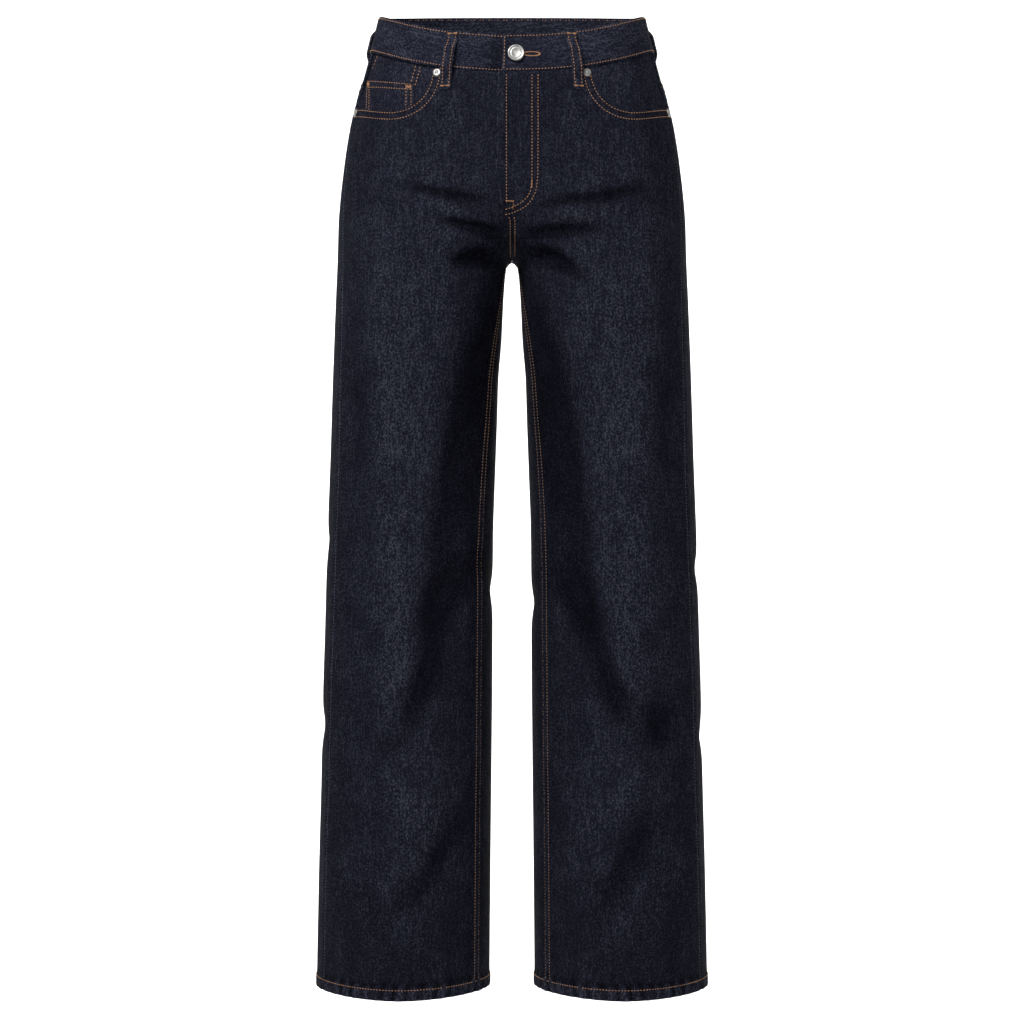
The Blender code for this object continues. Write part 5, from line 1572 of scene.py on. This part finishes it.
def sew_loop_lines(thread):
    """Two rows down each belt loop and a bartack across each of its ends."""
    for _, side, middle_angle in belt_loops():
        down = np.linspace(*LOOP_SEW_SPAN, LINE_POINTS["loop"])
        for across in LOOP_SEW_AT:
            place = loop_place(side, middle_angle, np.full_like(down, across), down)
            lay_stitches(thread, *thread_line(side, *place, loop_lift(down) + LOOP_WALL))
        for middle in LOOP_TACKS_AT:
            for across in np.linspace(*LOOP_TACK_SPAN, LOOP_TACK_STITCHES):
                down = middle + np.array((-0.5, 0.5)) * LOOP_TACK_TALL / LOOP_LENGTH
                place = loop_place(side, middle_angle, np.full_like(down, across), down)
                lay_stitches(thread, *thread_line(side, *place, loop_lift(down) + LOOP_WALL), single=True)


def sew_buttonhole(thread):
    """A keyhole worked in close stitches that stand across its edge."""
    turns = np.linspace(0.0, 2 * math.pi, BUTTONHOLE_STITCHES, endpoint=False)
    for turn in turns:
        reach = np.array((BUTTONHOLE_INNER, BUTTONHOLE_OUTER))
        out = BUTTONHOLE_OUT + math.cos(turn) * (reach + BUTTONHOLE_HALF_LENGTH)
        height = BUTTON_HEIGHT + math.sin(turn) * reach
        lay_stitches(thread, *front_line(LEFT, out, height, BAND_PROUD), single=True)


def spin_metal(name, profile, side, angle, height, lift, node, material):
    """Turns a profile of (radius, level) into metal that stands on the cloth."""
    metal = bmesh.new()
    verts = [metal.verts.new((radius, 0.0, level)) for radius, level in profile]
    edges = [metal.edges.new(pair) for pair in zip(verts, verts[1:])]
    bmesh.ops.spin(metal, geom=verts + edges, cent=(0.0, 0.0, 0.0), axis=(0.0, 0.0, 1.0),
                   angle=2 * math.pi, steps=METAL_STEPS, use_merge=True)
    bmesh.ops.remove_doubles(metal, verts=metal.verts[:], dist=METAL_MERGE)
    bmesh.ops.recalc_face_normals(metal, faces=metal.faces[:])
    seat, normals = thread_line(side, np.array([angle]), np.array([height]), lift)
    stand = Vector(normals[0]).to_track_quat("Z", "Y").to_matrix().to_4x4()
    metal.transform(Matrix.Translation(Vector(seat[0])) @ stand)
    mesh = bpy.data.meshes.new(name)
    metal.to_mesh(mesh)
    metal.free()
    mesh.shade_smooth()
    mesh.set_sharp_from_angle(angle=METAL_SHARP)
    return finish_piece(name, mesh, material, "silver_metal", node)


def cap_profile(radius, rim, height, dish, ring):
    """Profile of a cap: a dished middle with a fine ring round it, a round rim and a flat back."""
    profile = [(share * radius, height - dish + on_ring * ring) for share, on_ring in CAP_RINGS]
    profile.append((radius - CAP_RIM_IN * rim, height - dish))
    for step in range(CAP_RIM_STEPS):
        turn = math.pi * (CAP_RIM_START - step * CAP_RIM_TURN)
        profile.append((radius - rim + rim * math.cos(turn), height - rim + rim * math.sin(turn)))
    return profile


def make_button(metal):
    profile = cap_profile(BUTTON_RADIUS, BUTTON_RIM, BUTTON_TALL, BUTTON_DISH, BUTTON_RING)
    profile += [(SHANK_RADIUS, SHANK_TALL), (SHANK_RADIUS, 0.0), (0.0, 0.0)]
    angle = float(angle_at(BUTTON_OUT, BUTTON_HEIGHT, "front"))
    spin_metal("metal_button", profile, LEFT, angle, BUTTON_HEIGHT, BAND_PROUD + LAYER_GAP, "button", metal)


def make_rivets(metal):
    inner_angle = float(angle_at(INNER_RIVET_OUT, INNER_RIVET_HEIGHT, "front"))
    outer_angle = float(side_seam_angle(OUTER_RIVET_HEIGHT)) - OUTER_RIVET_SHIFT
    for side in (LEFT, RIGHT):
        for place, angle, height in (("inner", inner_angle, INNER_RIVET_HEIGHT),
                                     ("outer", outer_angle, OUTER_RIVET_HEIGHT)):
            node = "rivet_" + place + "_" + SIDE_NAMES[side]
            spin_metal("metal_" + node, RIVET_PROFILE, side, angle, height, LAYER_GAP, node, metal)


def set_inputs(tree, node, inputs):
    """Each named input of a node is linked to a socket or set to a value."""
    for key, value in inputs.items():
        if isinstance(value, bpy.types.NodeSocket):
            tree.links.new(value, node.inputs[key])
        else:
            node.inputs[key].default_value = value


def add_node(tree, kind, inputs=None, **settings):
    """A node with its settings made and its inputs linked or set."""
    node = tree.nodes.new(kind)
    for key, value in settings.items():
        setattr(node, key, value)
    set_inputs(tree, node, inputs or {})
    return node


def start_material(name):
    """A new material, its node tree and its shader."""
    material = bpy.data.materials.new(name)
    material.use_nodes = True
    return material, material.node_tree, material.node_tree.nodes["Principled BSDF"]


def shaded(colour, brightness):
    """A colour with each channel made darker or lighter, and never over 1."""
    return tuple(min(channel * brightness, 1.0) for channel in colour) + (1.0,)


def stretched_noise(tree, pattern, across, along, detail, name):
    """Noise in the cloth's own metres, with its grain size set across and along the warp."""
    mapped = add_node(tree, "ShaderNodeMapping",
                      {"Vector": pattern, "Scale": (1.0 / across, 1.0 / along, 1.0),
                       "Rotation": NOISE_TURN, "Location": NOISE_SHIFT},
                      name=name + " grain", label=name + " grain")
    return plain_noise(tree, mapped.outputs["Vector"], 1.0, detail, name, NOISE_ROUGHNESS)


def plain_noise(tree, place, scale, detail, name, roughness=0.5):
    noise = add_node(tree, "ShaderNodeTexNoise",
                     {"Vector": place, "Scale": scale, "Detail": detail, "Roughness": roughness},
                     name=name, label=name)
    return noise.outputs["Fac"]


def add_bump(tree, height, strength, distance):
    bump = add_node(tree, "ShaderNodeBump", {"Height": height, "Strength": strength, "Distance": distance})
    return bump.outputs["Normal"]


def ramp(tree, value, low, high, name, start=0.0, end=1.0):
    """A value read from low to high, as a share from start to end."""
    node = add_node(tree, "ShaderNodeMapRange", {"Value": value, "From Min": low, "From Max": high,
                                                 "To Min": start, "To Max": end},
                    interpolation_type="SMOOTHSTEP", name=name, label=name)
    return node.outputs["Result"]


def combine(tree, operation, first, second, name):
    node = add_node(tree, "ShaderNodeMath", {0: first, 1: second}, operation=operation, name=name, label=name)
    return node.outputs["Value"]


def mix_colour(tree, share, first, second, name):
    node = add_node(tree, "ShaderNodeMix", {0: share, 6: first, 7: second}, data_type="RGBA", name=name,
                    label=name)
    return node.outputs[2]


def make_denim(name, brightness):
    """Unwashed denim: indigo warp over pale weft, with slubs, a twill line, ridges that abrasion has made
    pale, and painted shade in the bottoms of the creases.
    """
    looks = bpy.context.scene.jeans_looks
    material, tree, shader = start_material(name)
    pattern = add_node(tree, "ShaderNodeUVMap", uv_map=PATTERN_MAP).outputs["UV"]
    # Per-point value of abrasion and painted shade, made with the cloth's mesh
    worn_and_shaded = add_node(tree, "ShaderNodeAttribute", attribute_name=WEAR_AND_SHADE_NAME).outputs["Fac"]
    noises, pale = {}, 0.0
    for row in WEAVE:
        yarn = dict(zip(WEAVE_COLUMNS, row))
        noise = stretched_noise(tree, pattern, yarn["across"], yarn["along"], yarn["detail"], yarn["name"])
        shows = ramp(tree, noise, yarn["low"], yarn["high"], yarn["name"] + " cut")
        shows = combine(tree, "MULTIPLY", shows, yarn["share"], yarn["name"] + " share")
        pale = combine(tree, "ADD", shows, pale, "with " + yarn["name"])
        noises[yarn["name"]] = noise
    clouds = stretched_noise(tree, pattern, *CLOUD_GRAIN, "dye clouds")
    # The pale flecks thin out as painted shade in the creases and grow on abraded ridges
    pale = combine(tree, "MULTIPLY", pale, ramp(tree, worn_and_shaded, *WEAR_AND_SHADE_RANGE, "wear_and_shade", *WEAR_AND_SHADE_SHARES), "with wear")
    pale = combine(tree, "MULTIPLY", pale, ramp(tree, clouds, *CLOUD_RANGE, "cloud", *CLOUD_SHARES),
                   "with clouds")
    dark, light = shaded(looks.indigo, brightness), shaded(looks.weft, brightness)
    # A darker copy of the indigo, painted as shade in the bottoms of the creases
    crease_shade = shaded(looks.indigo, brightness * CREASE_PAINTED_SHADE)
    colour = mix_colour(tree, ramp(tree, worn_and_shaded, *CREASE_SHADE_RANGE, "painted crease shade"), crease_shade, dark, "indigo in painted crease shade")
    turned = add_node(tree, "ShaderNodeMapping", {"Vector": pattern, "Rotation": (0.0, 0.0, TWILL_SLANT)},
                      name="twill slant", label="twill slant")
    twill = add_node(tree, "ShaderNodeTexWave",
                     {"Vector": turned.outputs["Vector"], "Scale": TWILL_SCALE, **TWILL_WAVE},
                     wave_type="BANDS", bands_direction="X", name="twill", label="twill")
    lines = combine(tree, "MULTIPLY", twill.outputs["Fac"], TWILL_HEIGHT, "twill height")
    grains = combine(tree, "MULTIPLY", noises["flecks"], FLECK_HEIGHT, "fleck height")
    set_inputs(tree, shader, {
        "Base Color": mix_colour(tree, pale, colour, light, "indigo and weft"),
        "Normal": add_bump(tree, combine(tree, "ADD", lines, grains, "weave height"), *WEAVE_BUMP),
        "Roughness": ramp(tree, noises["flecks"], *MIDDLE_RANGE, "roughness", *DENIM_ROUGHNESS),
        "Specular IOR Level": DENIM_SPECULAR,
        "Sheen Weight": 0.0,
    })
    return material


def make_thread(name, colour):
    """Twisted topstitch thread: paler on its plies and darker between them."""
    material, tree, shader = start_material(name)
    place = add_node(tree, "ShaderNodeTexCoord").outputs["Object"]
    fibre = plain_noise(tree, place, FIBRE_SCALE, THREAD_DETAIL, "fibre")
    patch = plain_noise(tree, place, PATCH_SCALE, THREAD_DETAIL, "patch")
    share = combine(tree, "ADD", combine(tree, "MULTIPLY", fibre, FIBRE_SHARE, "fibre share"),
                    combine(tree, "MULTIPLY", patch, PATCH_SHARE, "patch share"), "shade")
    set_inputs(tree, shader, {
        "Base Color": mix_colour(tree, ramp(tree, share, *PLY_RANGE, "ply"), shaded(colour, PLY_DARK),
                                 shaded(colour, PLY_LIGHT), "thread shade"),
        "Normal": add_bump(tree, fibre, *THREAD_BUMP),
        "Roughness": ramp(tree, fibre, *MIDDLE_RANGE, "roughness", *THREAD_ROUGHNESS),
        "Sheen Weight": THREAD_SHEEN,
    })
    return material


def make_silver():
    """Satin silver metal with a soft cast grain and darker tarnish in its dips."""
    material, tree, shader = start_material("satin_silver")
    place = add_node(tree, "ShaderNodeTexCoord").outputs["Object"]
    grain = plain_noise(tree, place, CAST_SCALE, METAL_DETAIL, "cast grain")
    cloud = plain_noise(tree, place, TARNISH_SCALE, METAL_DETAIL, "tarnish cloud")
    set_inputs(tree, shader, {
        "Base Color": mix_colour(tree, ramp(tree, cloud, *TARNISH_RANGE, "tarnish"), TARNISHED, SILVER,
                                 "silver shade"),
        "Roughness": ramp(tree, grain, *MIDDLE_RANGE, "roughness", *SILVER_ROUGHNESS),
        "Normal": add_bump(tree, grain, *SILVER_BUMP),
        "Metallic": SILVER_METALLIC,
    })
    return material


def tones():
    """The finishes of the cloth, thread and metal, made once."""
    looks = bpy.context.scene.jeans_looks
    if not FINISHES:
        # Each piece gets a lighter or darker copy of the same denim as painted light
        for name, brightness in CLOTH_PAINTED_LIGHT.items():
            FINISHES[name] = make_denim("denim_" + name + "_weave", brightness)
        FINISHES["thread"] = make_thread("tan_thread", looks.thread)
        # The inseam rows get the tan thread darkened as painted shade
        FINISHES["inseam"] = make_thread("inseam_thread_painted_shade", looks.shaded_inseam_thread)
        FINISHES["quiet"] = make_thread("indigo_thread", looks.quiet_thread)
        FINISHES["silver"] = make_silver()
    return FINISHES


def make_stage_material():
    """Smooth pale studio paper with a barely visible tooth."""
    material, tree, shader = start_material("studio_paper")
    place = add_node(tree, "ShaderNodeTexCoord").outputs["Object"]
    tooth = plain_noise(tree, place, PAPER_SCALE, PAPER_DETAIL, "tooth")
    set_inputs(tree, shader, {
        "Base Color": mix_colour(tree, tooth, PAPER_DARK, PAPER_LIGHT, "paper shade"),
        "Roughness": PAPER_ROUGHNESS,
    })
    return material


def make_stage():
    """A pale floor that curves up into a backdrop well behind the jeans."""
    cove = bmesh.new()
    line = [(-STAGE_REACH, FLOOR_LEVEL), (STAGE_BACK - STAGE_CURVE, FLOOR_LEVEL)]
    for step in range(1, STAGE_STEPS + 1):
        turn = step / STAGE_STEPS * math.pi / 2
        line.append((STAGE_BACK - STAGE_CURVE + STAGE_CURVE * math.sin(turn),
                     FLOOR_LEVEL + STAGE_CURVE * (1.0 - math.cos(turn))))
    line.append((STAGE_BACK, STAGE_TOP))
    verts = [cove.verts.new((-STAGE_REACH, depth, level)) for depth, level in line]
    edges = [cove.edges.new(pair) for pair in zip(verts, verts[1:])]
    grown = bmesh.ops.extrude_edge_only(cove, edges=edges)
    moved = [item for item in grown["geom"] if isinstance(item, bmesh.types.BMVert)]
    bmesh.ops.translate(cove, verts=moved, vec=(2 * STAGE_REACH, 0.0, 0.0))
    bmesh.ops.recalc_face_normals(cove, faces=cove.faces[:])
    mesh = bpy.data.meshes.new("studio_cove")
    cove.to_mesh(mesh)
    cove.free()
    mesh.shade_smooth()
    mesh.materials.append(make_stage_material())
    floor = bpy.data.objects.new("studio_cove", mesh)
    bpy.context.scene.collection.objects.link(floor)


def add_light(row):
    lamp = dict(zip(LIGHT_COLUMNS, row))
    data = bpy.data.lights.new(lamp["name"], "AREA")
    data.shape = "RECTANGLE"
    data.size, data.size_y, data.energy = lamp["width"], lamp["tall"], lamp["power"]
    light = bpy.data.objects.new(lamp["name"], data)
    light.location = (lamp["right"], lamp["depth"], lamp["up"])
    aim = Vector((lamp["aim_right"], lamp["aim_depth"], lamp["aim_up"])) - light.location
    light.rotation_euler = aim.to_track_quat("-Z", "Y").to_euler()
    light.visible_camera = False
    bpy.context.scene.collection.objects.link(light)


def set_world():
    world = bpy.data.worlds.new("studio_air")
    world.use_nodes = True
    background = world.node_tree.nodes["Background"]
    background.inputs["Color"].default_value = (1.0, 1.0, 1.0, 1.0)
    background.inputs["Strength"].default_value = WORLD_STRENGTH
    bpy.context.scene.world = world


def add_camera():
    data = bpy.data.cameras.new("studio_camera")
    data.lens = CAMERA_LENS
    data.sensor_width = CAMERA_SENSOR
    data.shift_x, data.shift_y = CAMERA_SHIFT
    camera = bpy.data.objects.new("studio_camera", data)
    camera.location = (0.0, CAMERA_DEPTH, MIDDLE_HEIGHT)
    camera.rotation_euler = (math.pi / 2, 0.0, 0.0)
    bpy.context.scene.collection.objects.link(camera)
    bpy.context.scene.camera = camera


class JeansLooks(bpy.types.PropertyGroup):
    """Colours of the dyed cloth and of the thread."""
    indigo: bpy.props.FloatVectorProperty(
        name="Indigo", description="Colour of the dyed warp", subtype="COLOR", size=3, min=0.0, max=1.0,
        default=(0.0062, 0.0070, 0.0138))
    weft: bpy.props.FloatVectorProperty(
        name="Weft", description="Colour of the paler flecks between the warps", subtype="COLOR", size=3,
        min=0.0, max=1.0, default=(0.0520, 0.0550, 0.0800))
    thread: bpy.props.FloatVectorProperty(
        name="Topstitch", description="Colour of the tan topstitch thread", subtype="COLOR", size=3,
        min=0.0, max=1.0, default=(0.56, 0.275, 0.118))
    # The inseam thread is the tan thread darkened as painted shade
    shaded_inseam_thread: bpy.props.FloatVectorProperty(
        name="Inseam thread", description="Colour of the shadowed thread at the inseams", subtype="COLOR",
        size=3, min=0.0, max=1.0, default=(0.30, 0.17, 0.095))
    quiet_thread: bpy.props.FloatVectorProperty(
        name="Seam thread", description="Colour of the quiet thread at the side seams", subtype="COLOR",
        size=3, min=0.0, max=1.0, default=(0.060, 0.066, 0.095))


class JeansSizes(bpy.types.PropertyGroup):
    """Sizes of the stitches and of the puckers that they draw in."""
    stitch_length: bpy.props.FloatProperty(
        name="Stitch length", description="Length of one topstitch and the gap after it", subtype="DISTANCE",
        unit="LENGTH", min=0.002, max=0.008, precision=4, default=0.0034)
    stitch_gap: bpy.props.FloatProperty(
        name="Gap share", description="Share of each topstitch's length that is the gap", subtype="FACTOR",
        min=0.1, max=0.6, default=0.34)
    thread_width: bpy.props.FloatProperty(
        name="Thread width", description="Width of the topstitch thread", subtype="DISTANCE", unit="LENGTH",
        min=0.0004, max=0.002, precision=4, default=0.0010)
    hem_puckers: bpy.props.FloatProperty(
        name="Hem puckers", description="Height of the ridges that the hem's stitches draw in",
        subtype="DISTANCE", unit="LENGTH", min=0.0, max=0.0015, precision=4, default=0.0007)


class JEANS_OT_sew_panels(bpy.types.Operator):
    """Sews the front and back panel of each leg"""
    bl_idname = "jeans.sew_panels"
    bl_label = "Panels"

    def execute(self, context):
        for side in (LEFT, RIGHT):
            sew_front(side, tones())
            sew_back(side, tones())
        return {"FINISHED"}


class JEANS_OT_sew_waist(bpy.types.Operator):
    """Sews the two yokes and the waistband"""
    bl_idname = "jeans.sew_waist"
    bl_label = "Yokes and waistband"

    def execute(self, context):
        for side in (LEFT, RIGHT):
            sew_yoke(side, tones())
        sew_waistband(tones())
        return {"FINISHED"}


class JEANS_OT_sew_pockets(bpy.types.Operator):
    """Sews the pocket facings, the coin pocket and the back pockets"""
    bl_idname = "jeans.sew_pockets"
    bl_label = "Pockets"

    def execute(self, context):
        for side in (LEFT, RIGHT):
            sew_facing(side, tones())
            sew_back_pocket(side, tones())
        sew_coin_pocket(tones())
        return {"FINISHED"}


class JEANS_OT_sew_belt_loops(bpy.types.Operator):
    """Sews the five belt loops"""
    bl_idname = "jeans.sew_belt_loops"
    bl_label = "Belt loops"

    def execute(self, context):
        for name, side, centre_angle in belt_loops():
            sew_belt_loop(name, side, centre_angle, tones())
        return {"FINISHED"}


class JEANS_OT_sew_thread(bpy.types.Operator):
    """Lays the topstitching, bartacks and buttonhole in real stitches"""
    bl_idname = "jeans.sew_thread"
    bl_label = "Topstitching"

    def execute(self, context):
        groups = {
            "thread_fly": (sew_fly, sew_buttonhole),
            "thread_front_pockets": (sew_scoops, sew_coin_lines, sew_facing_lines),
            "thread_hems": (sew_hems,),
            "thread_waistband": (sew_band_lines,),
            "thread_back": (sew_back_lines, sew_back_pocket_lines),
            "thread_belt_loops": (sew_loop_lines,),
        }
        for name, makers in groups.items():
            thread = bmesh.new()
            for maker in makers:
                maker(thread)
            finish_thread(name, thread, tones()["thread"])
        # The inseam rows take the tan thread darkened as painted shade, and the side seams the indigo thread
        for name, maker, tone in (("thread_inseams", sew_inseams, "inseam"),
                                  ("thread_side_seams", sew_side_seams, "quiet")):
            thread = bmesh.new()
            maker(thread)
            finish_thread(name, thread, tones()[tone])
        return {"FINISHED"}


class JEANS_OT_make_metal(bpy.types.Operator):
    """Turns the shank button and the four rivets"""
    bl_idname = "jeans.make_metal"
    bl_label = "Button and rivets"

    def execute(self, context):
        make_button(tones()["silver"])
        make_rivets(tones()["silver"])
        return {"FINISHED"}


class JEANS_OT_set_stage(bpy.types.Operator):
    """Sets up the pale floor, the soft lights and the camera"""
    bl_idname = "jeans.set_stage"
    bl_label = "Stage"

    def execute(self, context):
        make_stage()
        for row in LIGHTS:
            add_light(row)
        set_world()
        add_camera()
        context.scene.view_settings.view_transform = "Standard"
        return {"FINISHED"}


STEPS = (JEANS_OT_set_stage, JEANS_OT_sew_panels, JEANS_OT_sew_waist, JEANS_OT_sew_pockets,
         JEANS_OT_sew_belt_loops, JEANS_OT_sew_thread, JEANS_OT_make_metal)


class JEANS_PT_steps(bpy.types.Panel):
    """Lists the steps that sew the jeans, with their colours"""
    bl_idname = "JEANS_PT_steps"
    bl_label = "Wide-leg jeans"
    bl_space_type = "VIEW_3D"
    bl_region_type = "UI"
    bl_category = "Jeans"

    def draw(self, context):
        for group in (context.scene.jeans_looks, context.scene.jeans_sizes):
            for name in group.__annotations__:
                self.layout.prop(group, name)
        for step in STEPS:
            self.layout.operator(step.bl_idname)


CLASSES = (JeansLooks, JeansSizes, *STEPS, JEANS_PT_steps)


def register():
    for kind in CLASSES:
        bpy.utils.register_class(kind)
    bpy.types.Scene.jeans_looks = bpy.props.PointerProperty(type=JeansLooks)
    bpy.types.Scene.jeans_sizes = bpy.props.PointerProperty(type=JeansSizes)


def unregister():
    del bpy.types.Scene.jeans_looks
    del bpy.types.Scene.jeans_sizes
    for kind in reversed(CLASSES):
        bpy.utils.unregister_class(kind)


def main():
    register()
    bpy.ops.jeans.set_stage()
    bpy.ops.jeans.sew_panels()
    bpy.ops.jeans.sew_waist()
    bpy.ops.jeans.sew_pockets()
    bpy.ops.jeans.sew_belt_loops()
    bpy.ops.jeans.sew_thread()
    bpy.ops.jeans.make_metal()


if __name__ == "__main__":
    main()
